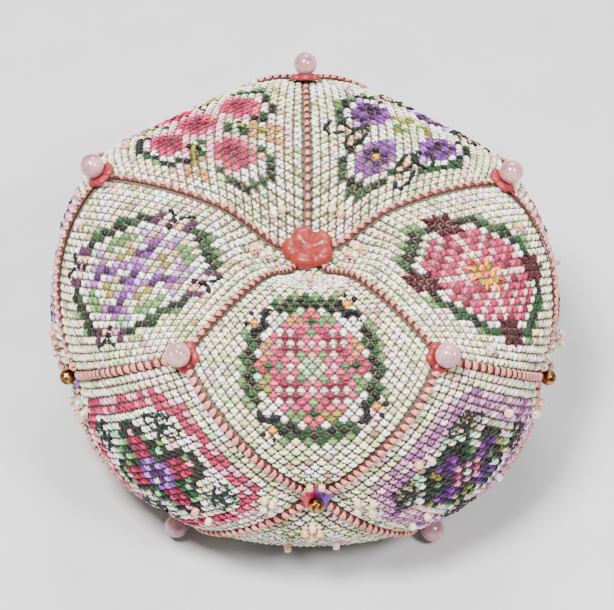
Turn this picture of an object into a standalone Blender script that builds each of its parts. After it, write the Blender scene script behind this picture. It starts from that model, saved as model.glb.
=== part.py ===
"""A five-sided embroidered pincushion ball, made of fifteen square panels sewn edge to edge.

Five squares meet at the top under a flower button, five stand on a corner round the middle, and
five meet at the underside. Every corner round the ball carries a small glass flower with a pearl
or a bronze bead on it. The filled ball is one solid; its seams lie in channels between the crowned
panels, with a whipped ridge of floss along each. All sizes are in metres, +Z is up, and the floor
is z = 0.
"""

import math
from collections import namedtuple

import bmesh
import bpy
import numpy as np
from mathutils import Vector

COLLECTION_NAME = "biscornu"
MM = 0.001

# Five of everything, one step of azimuth apart, starting with the corner that faces the front.
SIDES = 5
STEP = math.tau / SIDES
FRONT = -math.pi / 2

# Heights are measured from the plane of the middle corners, which stands this far off the floor.
MIDDLE_HEIGHT = 34.0 * MM
# The bead on the front corner reaches further from the axis than the squares behind, so the axis
# stands a little behind the middle of the ball's overall depth.
AXIS_Y = 0.5 * MM

# Rings of corners: distance from the axis, height, azimuth of the first in steps, and how far
# the corner's outward direction leans up from level.
Ring = namedtuple("Ring", "radius height first_step lean_deg")
RINGS = {
    "top": Ring(0.0 * MM, 21.0 * MM, 0.0, 90.0),
    "upper": Ring(48.4 * MM, 30.2 * MM, 0.5, 50.0),
    "equator": Ring(57.2 * MM, 0.0 * MM, 0.0, 0.0),
    "lower": Ring(47.0 * MM, -29.0 * MM, 0.5, -21.0),
    "bottom": Ring(0.0 * MM, -22.0 * MM, 0.0, -90.0),
}

# The squares are sewn by hand, and their corners sit a little off each ring.
Uneven = namedtuple("Uneven", "ring index turn_deg outward upward")
UNEVEN_CORNERS = (
    Uneven("upper", 0, -1.2, 0.6 * MM, -0.4 * MM),
    Uneven("upper", 1, -0.9, -1.8 * MM, 0.0 * MM),
    Uneven("upper", 3, 3.5, 0.4 * MM, 3.0 * MM),
    Uneven("upper", 4, 0.9, 0.5 * MM, -0.6 * MM),
    Uneven("equator", 0, 1.1, -1.2 * MM, 1.0 * MM),
    Uneven("equator", 1, 0.0, -0.8 * MM, -1.5 * MM),
    Uneven("equator", 4, 0.5, -1.2 * MM, -1.1 * MM),
    Uneven("lower", 0, 0.0, -0.6 * MM, 0.5 * MM),
    Uneven("lower", 4, -1.4, -0.9 * MM, 0.7 * MM),
)

# Middle of the seam between two rings, and how high the middle of its whipped ridge of floss
# stands over it. The seams of the underside have no ridge.
Seam = namedtuple("Seam", "radius height ridge_lift")
SEAMS = {
    ("top", "upper"): Seam(25.5 * MM, 30.5 * MM, 1.5 * MM),
    ("upper", "equator"): Seam(57.2 * MM, 18.6 * MM, 1.4 * MM),
    ("equator", "lower"): Seam(57.2 * MM, -15.0 * MM, 1.8 * MM),
    ("lower", "bottom"): Seam(24.5 * MM, -27.6 * MM, None),
}

# Middle of a panel of each row.
Through = namedtuple("Through", "radius height")
PANEL_MIDDLES = {
    "upper": Through(42.3 * MM, 28.0 * MM),
    "middle": Through(59.2 * MM, 0.0 * MM),
    "lower": Through(38.0 * MM, -33.4 * MM),
}

# The stuffing stands proud of the drawn-in seams by this much, rising over a share of the panel.
CHANNEL_DEPTH = 1.6 * MM
CHANNEL_SHARE = 0.12
# Where the rows of a panel's cage lie across it.
CAGE_ROWS = (0.0, 0.09, 0.26, 0.5, 0.74, 0.91, 1.0)
WELD_DISTANCE = 0.02 * MM
SURFACE_LEVELS = 1

# Sewn-on pieces. Each flower is flat at the back and its edge is cut into petals.
Trim = namedtuple("Trim", "diameter thickness segments rings")
BUTTON = Trim(12.7 * MM, 3.4 * MM, 30, 8)
CORNER_FLOWER = Trim(7.6 * MM, 1.5 * MM, 20, 6)
EQUATOR_FLOWER = Trim(7.6 * MM, 0.8 * MM, 20, 6)
PEARL = Trim(5.6 * MM, 5.6 * MM, 14, 8)
CutBead = namedtuple("CutBead", "diameter subdivisions")
BRONZE_BEAD = CutBead(3.9 * MM, 2)
PETALS = 5
PETAL_DEPTH = 0.16
# Share of a flower's half thickness that its underside keeps.
FLOWER_UNDERSIDE = 0.25

# A piece stands this far off what carries it. The cloth is pressed flat this far past a piece,
# and rises from there by this slope.
GAP = 0.4 * MM
SEAT_MARGIN = 1.6 * MM
WALL_SLOPE = 0.8

# Whipped seam ridge, and how far from the button or flower at each end it stops.
RIDGE_DIAMETER = 1.5 * MM
RIDGE_POINTS = 11
RIDGE_STOP = 0.6 * MM

# Rings whose five corners carry a flower and a bead.
BEADED_RINGS = ("upper", "equator", "lower")

# Share of a panel or seam over which its direction is measured.
REACH = 0.01

Finish = namedtuple("Finish", "color roughness metallic")
FINISHES = {
    "embroidered_linen": Finish((0.77, 0.71, 0.66), 0.9, 0.0),
    "rose_floss": Finish((0.55, 0.27, 0.27), 0.75, 0.0),
    "coral_glass": Finish((0.72, 0.20, 0.19), 0.2, 0.0),
    "pearl": Finish((0.86, 0.76, 0.72), 0.22, 0.0),
    "bronze_bead": Finish((0.42, 0.24, 0.07), 0.3, 1.0),
}

Corner = namedtuple("Corner", "ring azimuth radius height outward upward")
Panel = namedtuple("Panel", "row top left bottom right")
Seat = namedtuple("Seat", "point direction radius")


def clear_scene():
    """Remove every object of the opened file."""
    for obj in list(bpy.data.objects):
        bpy.data.objects.remove(obj, do_unlink=True)


def make_collection(name):
    """Add a collection to the scene and return it."""
    collection = bpy.data.collections.new(name)
    bpy.context.scene.collection.children.link(collection)
    return collection


def make_material(name):
    """Principled material of one finish."""
    finish = FINISHES[name]
    material = bpy.data.materials.new(name)
    material.use_nodes = True
    shader = material.node_tree.nodes["Principled BSDF"]
    shader.inputs["Base Color"].default_value = (*finish.color, 1.0)
    shader.inputs["Roughness"].default_value = finish.roughness
    shader.inputs["Metallic"].default_value = finish.metallic
    return material


def at(radius, azimuth, height):
    """Point of the ball at a distance from its axis, an azimuth and a height."""
    return Vector((
        radius * math.cos(azimuth),
        AXIS_Y + radius * math.sin(azimuth),
        MIDDLE_HEIGHT + height,
    ))


def make_corner(ring_name, index):
    """Corner of a ring, with its own unevenness."""
    ring = RINGS[ring_name]
    turn, outward, upward = 0.0, 0.0, 0.0
    for uneven in UNEVEN_CORNERS:
        if (uneven.ring, uneven.index) == (ring_name, index % SIDES):
            turn, outward, upward = math.radians(uneven.turn_deg), uneven.outward, uneven.upward
    azimuth = FRONT + STEP * (index + ring.first_step) + turn
    return Corner(ring_name, azimuth, ring.radius + outward, ring.height + upward,
                  outward, upward)


def corner_point(corner):
    """Where the cloth's corner lies."""
    return at(corner.radius, corner.azimuth, corner.height)


def corner_direction(corner):
    """Outward direction of the corner, which its flower and bead stand along."""
    lean = math.radians(RINGS[corner.ring].lean_deg)
    return Vector((
        math.cos(lean) * math.cos(corner.azimuth),
        math.cos(lean) * math.sin(corner.azimuth),
        math.sin(lean),
    ))


def seam_between(first, second):
    """Kind of seam that joins two corners of neighbouring rings, in either order."""
    return SEAMS.get((first.ring, second.ring)) or SEAMS[(second.ring, first.ring)]


def seam_middle(first, second):
    """Middle of the seam between two corners of neighbouring rings."""
    seam = seam_between(first, second)
    if first.radius == 0.0:
        azimuth = second.azimuth
    elif second.radius == 0.0:
        azimuth = first.azimuth
    else:
        azimuth = (first.azimuth + second.azimuth) / 2
    outward = (first.outward + second.outward) / 2
    upward = (first.upward + second.upward) / 2
    return at(seam.radius + outward, azimuth, seam.height + upward)


def quadratic_weights(t):
    """Weights of the start, middle and end of a curve that passes through all three."""
    return ((2 * t - 1) * (t - 1), 4 * t * (1 - t), t * (2 * t - 1))


def seam_point(first, second, t):
    """Point of a seam, which bows through its middle."""
    points = (corner_point(first), seam_middle(first, second), corner_point(second))
    return sum((point * weight for point, weight in zip(points, quadratic_weights(t))), Vector())


def make_panels():
    """The fifteen squares, each by its corners as seen from outside."""
    top = make_corner("top", 0)
    bottom = make_corner("bottom", 0)
    panels = []
    for index in range(SIDES):
        equator = make_corner("equator", index)
        next_equator = make_corner("equator", index + 1)
        upper_left, upper = make_corner("upper", index - 1), make_corner("upper", index)
        lower_left, lower = make_corner("lower", index - 1), make_corner("lower", index)
        panels.append(Panel("upper", top, upper_left, equator, upper))
        panels.append(Panel("middle", upper, equator, lower, next_equator))
        panels.append(Panel("lower", equator, lower_left, bottom, lower))
    return panels


def make_seams(panels):
    """Each pair of neighbouring corners once."""
    seams = {}
    for panel in panels:
        for first, second in ((panel.top, panel.left), (panel.top, panel.right),
                              (panel.left, panel.bottom), (panel.right, panel.bottom)):
            place = seam_middle(first, second)
            key = tuple(round(value / WELD_DISTANCE) for value in place)
            seams.setdefault(key, (first, second))
    return list(seams.values())


def panel_middle(panel):
    """Middle of a panel, on the line that its side corners share."""
    through = PANEL_MIDDLES[panel.row]
    azimuths = [panel.left.azimuth, panel.right.azimuth]
    if azimuths[1] < azimuths[0]:
        azimuths[1] += math.tau
    corners = (panel.top, panel.left, panel.bottom, panel.right)
    outward = sum(corner.outward for corner in corners) / len(corners)
    upward = sum(corner.upward for corner in corners) / len(corners)
    return at(through.radius + outward, sum(azimuths) / 2, through.height + upward)


def panel_net(panel):
    """Three by three points that the panel's smooth skin passes through."""
    return (
        (corner_point(panel.top), seam_middle(panel.top, panel.right),
         corner_point(panel.right)),
        (seam_middle(panel.top, panel.left), panel_middle(panel),
         seam_middle(panel.right, panel.bottom)),
        (corner_point(panel.left), seam_middle(panel.left, panel.bottom),
         corner_point(panel.bottom)),
    )


def skin_point(net, u, v):
    """Point of the smooth skin; u runs down to the left corner, v to the right one."""
    point = Vector()
    for row, row_weight in zip(net, quadratic_weights(u)):
        for knot, knot_weight in zip(row, quadratic_weights(v)):
            point += knot * (row_weight * knot_weight)
    return point


def channel_rise(t):
    """Rise of the stuffing across a panel, from 0 at a seam to 1 past the channel."""
    return math.sin(math.pi / 2 * min(1.0, min(t, 1.0 - t) / CHANNEL_SHARE))


def panel_point(net, u, v):
    """Point of the stuffed panel, with its edges drawn in at the seams."""
    low_u, high_u = max(0.0, u - REACH), min(1.0, u + REACH)
    low_v, high_v = max(0.0, v - REACH), min(1.0, v + REACH)
    along_u = skin_point(net, high_u, v) - skin_point(net, low_u, v)
    along_v = skin_point(net, u, high_v) - skin_point(net, u, low_v)
    outward = along_u.cross(along_v).normalized()
    rise = CHANNEL_DEPTH * channel_rise(u) * channel_rise(v)
    return skin_point(net, u, v) + outward * rise


def cage_points(panel):
    """Cage of one panel, whose smooth limit surface passes through the stuffed panel's points.

    A row of the limit surface lies a sixth, four sixths and a sixth of the way to its cage rows,
    save at a creased seam, so the cage is found by undoing that along and across the panel.
    """
    net = panel_net(panel)
    wanted = np.array([[panel_point(net, u, v) for v in CAGE_ROWS] for u in CAGE_ROWS])
    smoothing = np.eye(len(CAGE_ROWS))
    for row in range(1, len(CAGE_ROWS) - 1):
        smoothing[row, row - 1:row + 2] = (1 / 6, 4 / 6, 1 / 6)
    undo = np.linalg.inv(smoothing)
    return np.einsum("iu,jv,uvk->ijk", undo, undo, wanted)


def flower_of(ring_name):
    """The sewn-on flower that lies on the cloth at a ring's corners."""
    flowers = {"top": BUTTON, "equator": EQUATOR_FLOWER}
    return flowers.get(ring_name, CORNER_FLOWER)


def make_seats(corners):
    """Round places where a sewn-on piece presses the cloth flat."""
    return [Seat(corner_point(corner), corner_direction(corner),
                 flower_of(corner.ring).diameter / 2 + SEAT_MARGIN) for corner in corners]


def settled(point, seats):
    """Where a point of the cloth goes under the sewn-on pieces and on the floor."""
    for seat in seats:
        offset = point - seat.point
        height = offset.dot(seat.direction)
        across = (offset - seat.direction * height).length
        limit = WALL_SLOPE * max(0.0, across - seat.radius)
        if height > limit:
            point = point - seat.direction * (height - limit)
    return Vector((point.x, point.y, max(0.0, point.z)))


def make_body(panels, seats, collection):
    """The filled ball: one grid a panel, welded at creased seams, smoothed and settled."""
    cage = bmesh.new()
    panel_layer = cage.faces.layers.int.new("panel")
    crease_layer = cage.edges.layers.float.new("crease_edge")
    cells = len(CAGE_ROWS) - 1
    for index, panel in enumerate(panels):
        points = cage_points(panel)
        grid = bmesh.ops.create_grid(cage, x_segments=cells, y_segments=cells, size=0.5)
        for vertex in grid["verts"]:
            row = round((vertex.co.x + 0.5) * cells)
            column = round((vertex.co.y + 0.5) * cells)
            vertex.co = points[row][column]
        for face in {face for vertex in grid["verts"] for face in vertex.link_faces}:
            face[panel_layer] = index
    bmesh.ops.remove_doubles(cage, verts=cage.verts, dist=WELD_DISTANCE)
    for edge in cage.edges:
        if len({face[panel_layer] for face in edge.link_faces}) > 1:
            edge[crease_layer] = 1.0
    mesh = bpy.data.meshes.new("cushion_body_cage")
    cage.to_mesh(mesh)
    cage.free()
    body = bpy.data.objects.new("cushion_body", mesh)
    collection.objects.link(body)
    surface = body.modifiers.new("stuffing", "SUBSURF")
    surface.levels = SURFACE_LEVELS
    surface.render_levels = SURFACE_LEVELS
    bpy.context.view_layer.update()
    evaluated = body.evaluated_get(bpy.context.evaluated_depsgraph_get())
    body.modifiers.clear()
    body.data = bpy.data.meshes.new_from_object(evaluated)
    body.data.name = "cushion_body"
    for vertex in body.data.vertices:
        vertex.co = settled(vertex.co, seats)
    body.data.materials.clear()
    body.data.materials.append(make_material("embroidered_linen"))
    body.data.shade_smooth()
    return body


def petal_reach(angle):
    """Share of the full radius that a flower's edge reaches at an angle."""
    return 1.0 - PETAL_DEPTH * (1.0 - abs(math.cos(PETALS * angle / 2)))


def flower_mesh(name, trim):
    """Domed flower on z = 0, nearly flat at the back, its petals cut by the outline."""
    flower = bmesh.new()
    bmesh.ops.create_uvsphere(flower, u_segments=trim.segments, v_segments=trim.rings, radius=1.0)
    for vertex in flower.verts:
        reach = petal_reach(math.atan2(vertex.co.y, vertex.co.x)) * trim.diameter / 2
        height = vertex.co.z if vertex.co.z > 0.0 else vertex.co.z * FLOWER_UNDERSIDE
        share = (height + FLOWER_UNDERSIDE) / (1.0 + FLOWER_UNDERSIDE)
        vertex.co = Vector((vertex.co.x * reach, vertex.co.y * reach, share * trim.thickness))
    mesh = bpy.data.meshes.new(name)
    flower.to_mesh(mesh)
    flower.free()
    mesh.shade_smooth()
    return mesh


def ball_mesh(name, trim):
    """Smooth round bead."""
    ball = bmesh.new()
    bmesh.ops.create_uvsphere(ball, u_segments=trim.segments, v_segments=trim.rings,
                              radius=trim.diameter / 2)
    mesh = bpy.data.meshes.new(name)
    ball.to_mesh(mesh)
    ball.free()
    mesh.shade_smooth()
    return mesh


def faceted_mesh(name, cut):
    """Cut bead with flat facets."""
    bead = bmesh.new()
    bmesh.ops.create_icosphere(bead, subdivisions=cut.subdivisions, radius=cut.diameter / 2)
    mesh = bpy.data.meshes.new(name)
    bead.to_mesh(mesh)
    bead.free()
    return mesh


def place(name, mesh, corner, distance, collection):
    """Stand a sewn-on piece a distance out from a corner, along the corner's direction."""
    obj = bpy.data.objects.new(name, mesh)
    direction = corner_direction(corner)
    obj.location = corner_point(corner) + direction * distance
    obj.rotation_mode = "QUATERNION"
    obj.rotation_quaternion = direction.to_track_quat("Z", "X")
    collection.objects.link(obj)
    return obj


def make_trim(collection):
    """The flower button on top and the flower and bead on each corner round the ball."""
    button = flower_mesh("button_flower", BUTTON)
    corner_flower = flower_mesh("corner_flower", CORNER_FLOWER)
    equator_flower = flower_mesh("equator_flower", EQUATOR_FLOWER)
    pearl = ball_mesh("pearl", PEARL)
    bronze = faceted_mesh("bronze_bead", BRONZE_BEAD)
    glass = make_material("coral_glass")
    for mesh in (button, corner_flower, equator_flower):
        mesh.materials.append(glass)
    pearl.materials.append(make_material("pearl"))
    bronze.materials.append(make_material("bronze_bead"))
    place("button_flower", button, make_corner("top", 0), GAP, collection)
    beads = {"upper": ("pearl", corner_flower, pearl, PEARL),
             "lower": ("pearl", corner_flower, pearl, PEARL),
             "equator": ("bronze", equator_flower, bronze, BRONZE_BEAD)}
    for ring, (kind, flower, bead, size) in beads.items():
        distance = GAP + flower_of(ring).thickness + GAP + size.diameter / 2
        for index in range(SIDES):
            corner = make_corner(ring, index)
            place(f"flower_{ring}_{index + 1}", flower, corner, GAP, collection)
            place(f"{kind}_{ring}_{index + 1}", bead, corner, distance, collection)


def ridge_direction(first, second, t):
    """Outward direction of a seam: square to it, away from the middle of the ball."""
    along = seam_point(first, second, t + REACH) - seam_point(first, second, t - REACH)
    along.normalize()
    outward = seam_point(first, second, t) - at(0.0, 0.0, 0.0)
    return (outward - along * outward.dot(along)).normalized()


def make_ridge(name, first, second, seats, collection):
    """Whipped ridge of floss along a seam, ending clear of what sits on its corners."""
    length = (corner_point(second) - corner_point(first)).length
    ridge_lift = seam_between(first, second).ridge_lift
    start = (flower_of(first.ring).diameter / 2 + RIDGE_STOP) / length
    end = 1.0 - (flower_of(second.ring).diameter / 2 + RIDGE_STOP) / length
    curve = bpy.data.curves.new(name, "CURVE")
    curve.dimensions = "3D"
    curve.bevel_depth = RIDGE_DIAMETER / 2
    curve.bevel_resolution = 1
    curve.use_fill_caps = True
    spline = curve.splines.new("POLY")
    spline.points.add(RIDGE_POINTS - 1)
    for index, knot in enumerate(spline.points):
        t = start + (end - start) * index / (RIDGE_POINTS - 1)
        lift = ridge_direction(first, second, t) * ridge_lift
        knot.co = (*(settled(seam_point(first, second, t), seats) + lift), 1.0)
    obj = bpy.data.objects.new(name, curve)
    collection.objects.link(obj)
    return obj


def make_ridges(panels, seats, collection):
    """One ridge for each seam that shows; the five of the underside stay plain channels."""
    floss = make_material("rose_floss")
    counts = {}
    for first, second in make_seams(panels):
        if seam_between(first, second).ridge_lift is None:
            continue
        kind = f"{first.ring}_{second.ring}"
        counts[kind] = counts.get(kind, 0) + 1
        ridge = make_ridge(f"seam_{kind}_{counts[kind]}", first, second, seats, collection)
        ridge.data.materials.append(floss)


def main():
    clear_scene()
    collection = make_collection(COLLECTION_NAME)
    panels = make_panels()
    corners = [make_corner("top", 0)]
    corners += [make_corner(ring, index) for ring in BEADED_RINGS for index in range(SIDES)]
    seats = make_seats(corners)
    make_body(panels, seats, collection)
    make_trim(collection)
    make_ridges(panels, seats, collection)


main()
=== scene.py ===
"""An embroidered pincushion ball of fifteen cross-stitched squares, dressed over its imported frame.

The filled ball is stuffed cloth: its fifteen squares are swelled by a cloth simulation and sewn
along creased seams. Every square is covered with cross stitches from its own chart, the seams are
whipped with rose floss, and glass flowers, pearls, bronze beads and seed beads are sewn on.
All sizes are in metres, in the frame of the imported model: +Z is up and the floor is z = 0.
"""

import logging
import math
from collections.abc import Callable
from dataclasses import dataclass, field
from enum import Enum

import bmesh
import bpy
import numpy as np
from bpy.types import Material, Mesh, Node, NodeOutputs, NodeSocket, NodeTree, Object
from mathutils import Matrix, Vector


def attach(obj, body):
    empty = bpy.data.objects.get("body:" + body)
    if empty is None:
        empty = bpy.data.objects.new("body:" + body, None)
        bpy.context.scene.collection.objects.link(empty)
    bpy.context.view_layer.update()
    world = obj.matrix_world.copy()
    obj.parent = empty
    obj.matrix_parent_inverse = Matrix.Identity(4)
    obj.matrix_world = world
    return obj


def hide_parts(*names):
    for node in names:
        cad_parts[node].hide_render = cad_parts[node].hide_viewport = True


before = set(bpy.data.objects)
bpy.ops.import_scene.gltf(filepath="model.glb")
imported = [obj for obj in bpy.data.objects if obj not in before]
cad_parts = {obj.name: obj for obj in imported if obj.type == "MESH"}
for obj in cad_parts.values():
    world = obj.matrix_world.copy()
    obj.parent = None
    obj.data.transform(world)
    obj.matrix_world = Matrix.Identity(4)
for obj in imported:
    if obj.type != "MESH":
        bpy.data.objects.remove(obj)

LOG = logging.getLogger("biscornu")
Array = np.ndarray
Tone = tuple[int, int, int]
Place = tuple[float, float]

MM = 0.001
SIDES = 5
STEP = math.tau / SIDES
FRONT = -math.pi / 2
BODY = "root"
# Cross stitches along each side of a square.
STITCHES = 25


class Floss(Enum):
    """Colours of the embroidery floss in red, green and blue, deeper than a screen shows them."""

    ICE = (250, 254, 250)
    CREAM = (252, 240, 198)
    BLUSH = (255, 212, 214)
    PALE_GREEN = (212, 228, 172)
    SAND = (190, 160, 128)
    MINT = (160, 216, 174)
    SAGE = (98, 146, 82)
    FOREST = (14, 62, 28)
    DEEP_GREEN = (4, 22, 14)
    OLIVE = (140, 128, 46)
    TAN = (200, 134, 78)
    GOLD = (242, 150, 24)
    PEACH = (252, 178, 142)
    PALE_PINK = (246, 166, 188)
    PINK = (212, 62, 116)
    CORAL = (206, 74, 82)
    ROSE = (178, 20, 82)
    CRIMSON = (126, 0, 50)
    MAROON = (62, 0, 20)
    LILAC = (192, 138, 230)
    MAUVE = (158, 88, 158)
    ORCHID = (204, 146, 186)
    VIOLET = (116, 40, 146)
    PURPLE = (58, 12, 76)
    PLUM = (66, 22, 62)
    NAVY = (4, 5, 20)
    DARK_BROWN = (14, 5, 4)
    SEAM_ROSE = (212, 138, 128)
    SEAM_DEEP = (204, 130, 120)
    # Near-black rose of the seams' sunken core, which shows between the whips as painted shade.
    SEAM_SHADE = (108, 44, 42)

    def linear(self) -> Array:
        """The colour as light, for attributes and shaders."""
        return to_linear(self.value)


def to_linear(screen: Tone) -> Array:
    """Turn a screen colour into linear light.

    Args:
        screen: Red, green and blue from 0 to 255.

    Returns:
        Three values from 0 to 1.
    """
    share = np.asarray(screen, float) / 255.0
    return np.where(share <= 0.04045, share / 12.92, ((share + 0.055) / 1.055) ** 2.4)


def unit(vectors: Array) -> Array:
    """Vectors of length one along the last axis."""
    return vectors / np.maximum(np.linalg.norm(vectors, axis=-1, keepdims=True), 1e-12)


# ---- The ball's shape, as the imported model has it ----


@dataclass(frozen=True)
class Ring:
    """Ring of corners round the axis."""

    radius: float
    height: float
    first_step: float
    lean_deg: float


@dataclass(frozen=True)
class Uneven:
    """How far a hand-sewn corner sits off its ring."""

    ring: str
    index: int
    turn_deg: float
    outward: float
    upward: float


@dataclass(frozen=True)
class Through:
    """Distance from the axis and height that a seam's or a square's middle passes through."""

    radius: float
    height: float


@dataclass(frozen=True)
class Corner:
    """Corner where squares meet, with its own unevenness."""

    ring: str
    azimuth: float
    radius: float
    height: float
    outward: float
    upward: float


@dataclass(frozen=True)
class Square:
    """One stitched square by its corners, as seen from outside."""

    row: str
    index: int
    top: Corner
    left: Corner
    bottom: Corner
    right: Corner


@dataclass(frozen=True)
class Seat:
    """Round place where a sewn-on piece presses the cloth flat."""

    point: Array
    direction: Array
    radius: float


@dataclass
class BallShape:
    """Where the corners, seams and squares of the ball lie."""

    middle_height: float = 34.0 * MM
    axis_y: float = 0.5 * MM
    channel_depth: float = 1.6 * MM
    channel_share: float = 0.12
    seat_margin: float = 1.6 * MM
    wall_slope: float = 0.8
    reach: float = 0.01
    rings: dict[str, Ring] = field(default_factory=lambda: {
        "top": Ring(0.0, 21.0 * MM, 0.0, 90.0),
        "upper": Ring(48.4 * MM, 30.2 * MM, 0.5, 50.0),
        "equator": Ring(57.2 * MM, 0.0, 0.0, 0.0),
        "lower": Ring(47.0 * MM, -29.0 * MM, 0.5, -21.0),
        "bottom": Ring(0.0, -22.0 * MM, 0.0, -90.0),
    })
    uneven: tuple[Uneven, ...] = (
        Uneven("upper", 0, -1.2, 0.6 * MM, -0.4 * MM),
        Uneven("upper", 1, -0.9, -1.8 * MM, 0.0),
        Uneven("upper", 3, 3.5, 0.4 * MM, 3.0 * MM),
        Uneven("upper", 4, 0.9, 0.5 * MM, -0.6 * MM),
        Uneven("equator", 0, 1.1, -1.2 * MM, 1.0 * MM),
        Uneven("equator", 1, 0.0, -0.8 * MM, -1.5 * MM),
        Uneven("equator", 4, 0.5, -1.2 * MM, -1.1 * MM),
        Uneven("lower", 0, 0.0, -0.6 * MM, 0.5 * MM),
        Uneven("lower", 4, -1.4, -0.9 * MM, 0.7 * MM),
    )
    seams: dict[tuple[str, str], Through] = field(default_factory=lambda: {
        ("top", "upper"): Through(25.5 * MM, 30.5 * MM),
        ("upper", "equator"): Through(57.2 * MM, 18.6 * MM),
        ("equator", "lower"): Through(57.2 * MM, -15.0 * MM),
        ("lower", "bottom"): Through(24.5 * MM, -27.6 * MM),
    })
    middles: dict[str, Through] = field(default_factory=lambda: {
        "upper": Through(42.3 * MM, 28.0 * MM),
        "middle": Through(59.2 * MM, 0.0),
        "lower": Through(38.0 * MM, -33.4 * MM),
    })
    seat_radii: dict[str, float] = field(default_factory=lambda: {
        "top": 6.35 * MM, "upper": 3.8 * MM, "equator": 3.8 * MM, "lower": 3.8 * MM,
    })

    def at(self, radius: float, azimuth: float, height: float) -> Array:
        """Point at a distance from the axis, an azimuth and a height."""
        return np.array((radius * math.cos(azimuth), self.axis_y + radius * math.sin(azimuth),
                         self.middle_height + height))

    def corner(self, ring_name: str, index: int) -> Corner:
        """Find a corner of a ring.

        Args:
            ring_name: Ring that the corner is on.
            index: Its number round the ring; numbers past the last start again.

        Returns:
            The corner with its own unevenness.
        """
        ring = self.rings[ring_name]
        own = [u for u in self.uneven if (u.ring, u.index) == (ring_name, index % SIDES)]
        off = own[0] if own else Uneven(ring_name, index, 0.0, 0.0, 0.0)
        azimuth = FRONT + STEP * (index + ring.first_step) + math.radians(off.turn_deg)
        return Corner(ring_name, azimuth, ring.radius + off.outward, ring.height + off.upward,
                      off.outward, off.upward)

    def point(self, corner: Corner) -> Array:
        """Where the cloth's corner lies."""
        return self.at(corner.radius, corner.azimuth, corner.height)

    def direction(self, corner: Corner) -> Array:
        """Outward direction that a corner's flower and bead stand along."""
        lean = math.radians(self.rings[corner.ring].lean_deg)
        return np.array((math.cos(lean) * math.cos(corner.azimuth),
                         math.cos(lean) * math.sin(corner.azimuth), math.sin(lean)))

    def seam_middle(self, first: Corner, second: Corner) -> Array:
        """Middle of the seam between two corners of neighbouring rings."""
        key = (first.ring, second.ring)
        seam = self.seams[key if key in self.seams else key[::-1]]
        azimuth = (first.azimuth + second.azimuth) / 2
        if first.radius == 0.0:
            azimuth = second.azimuth
        elif second.radius == 0.0:
            azimuth = first.azimuth
        outward = (first.outward + second.outward) / 2
        upward = (first.upward + second.upward) / 2
        return self.at(seam.radius + outward, azimuth, seam.height + upward)

    def squares(self) -> list[Square]:
        """The fifteen squares: upper, middle and lower in turn round the ball."""
        top, bottom = self.corner("top", 0), self.corner("bottom", 0)
        found = []
        for k in range(SIDES):
            equator, after = self.corner("equator", k), self.corner("equator", k + 1)
            high_left, high = self.corner("upper", k - 1), self.corner("upper", k)
            low_left, low = self.corner("lower", k - 1), self.corner("lower", k)
            found.append(Square("upper", k, top, high_left, equator, high))
            found.append(Square("middle", k, high, equator, low, after))
            found.append(Square("lower", k, equator, low_left, bottom, low))
        return found

    def net(self, square: Square) -> Array:
        """Three by three points that a square's smooth skin passes through."""
        through = self.middles[square.row]
        azimuths = [square.left.azimuth, square.right.azimuth]
        if azimuths[1] < azimuths[0]:
            azimuths[1] += math.tau
        corners = (square.top, square.left, square.bottom, square.right)
        outward = sum(corner.outward for corner in corners) / len(corners)
        upward = sum(corner.upward for corner in corners) / len(corners)
        middle = self.at(through.radius + outward, sum(azimuths) / 2, through.height + upward)
        return np.array((
            (self.point(square.top), self.seam_middle(square.top, square.right),
             self.point(square.right)),
            (self.seam_middle(square.top, square.left), middle,
             self.seam_middle(square.right, square.bottom)),
            (self.point(square.left), self.seam_middle(square.left, square.bottom),
             self.point(square.bottom)),
        ))

    def skin(self, net: Array, u: Array, v: Array) -> Array:
        """Points of a square's smooth skin; u runs to its left corner and v to its right one."""
        weigh_u = np.stack(((2 * u - 1) * (u - 1), 4 * u * (1 - u), u * (2 * u - 1)), -1)
        weigh_v = np.stack(((2 * v - 1) * (v - 1), 4 * v * (1 - v), v * (2 * v - 1)), -1)
        return np.einsum("...i,...j,ijk->...k", weigh_u, weigh_v, net)

    def rise(self, t: Array) -> Array:
        """Rise of the stuffing across a square, from 0 at a seam to 1 past the channel."""
        near = np.minimum(np.minimum(t, 1.0 - t) / self.channel_share, 1.0)
        return np.sin(math.pi / 2 * near)

    def stuffed(self, net: Array, u: Array, v: Array, drawn_in: float) -> Array:
        """Find points of the stuffed square.

        Args:
            net: The square's net.
            u: Share of the way down to the left corner, for each point.
            v: Share of the way down to the right corner, for each point.
            drawn_in: How far the crown is held back, for the filling to swell.

        Returns:
            One point for each u and v.
        """
        low_u, high_u = np.maximum(0.0, u - self.reach), np.minimum(1.0, u + self.reach)
        low_v, high_v = np.maximum(0.0, v - self.reach), np.minimum(1.0, v + self.reach)
        along_u = self.skin(net, high_u, v) - self.skin(net, low_u, v)
        along_v = self.skin(net, u, high_v) - self.skin(net, u, low_v)
        crown = (self.channel_depth - drawn_in) * self.rise(u) * self.rise(v)
        return self.skin(net, u, v) + unit(np.cross(along_u, along_v)) * crown[..., None]

    def seats(self) -> list[Seat]:
        """Where the button and the corner flowers lie on the cloth."""
        corners = [self.corner("top", 0)]
        for ring in ("upper", "equator", "lower"):
            corners += [self.corner(ring, index) for index in range(SIDES)]
        return [Seat(self.point(c), self.direction(c), self.seat_radii[c.ring]) for c in corners]

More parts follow.
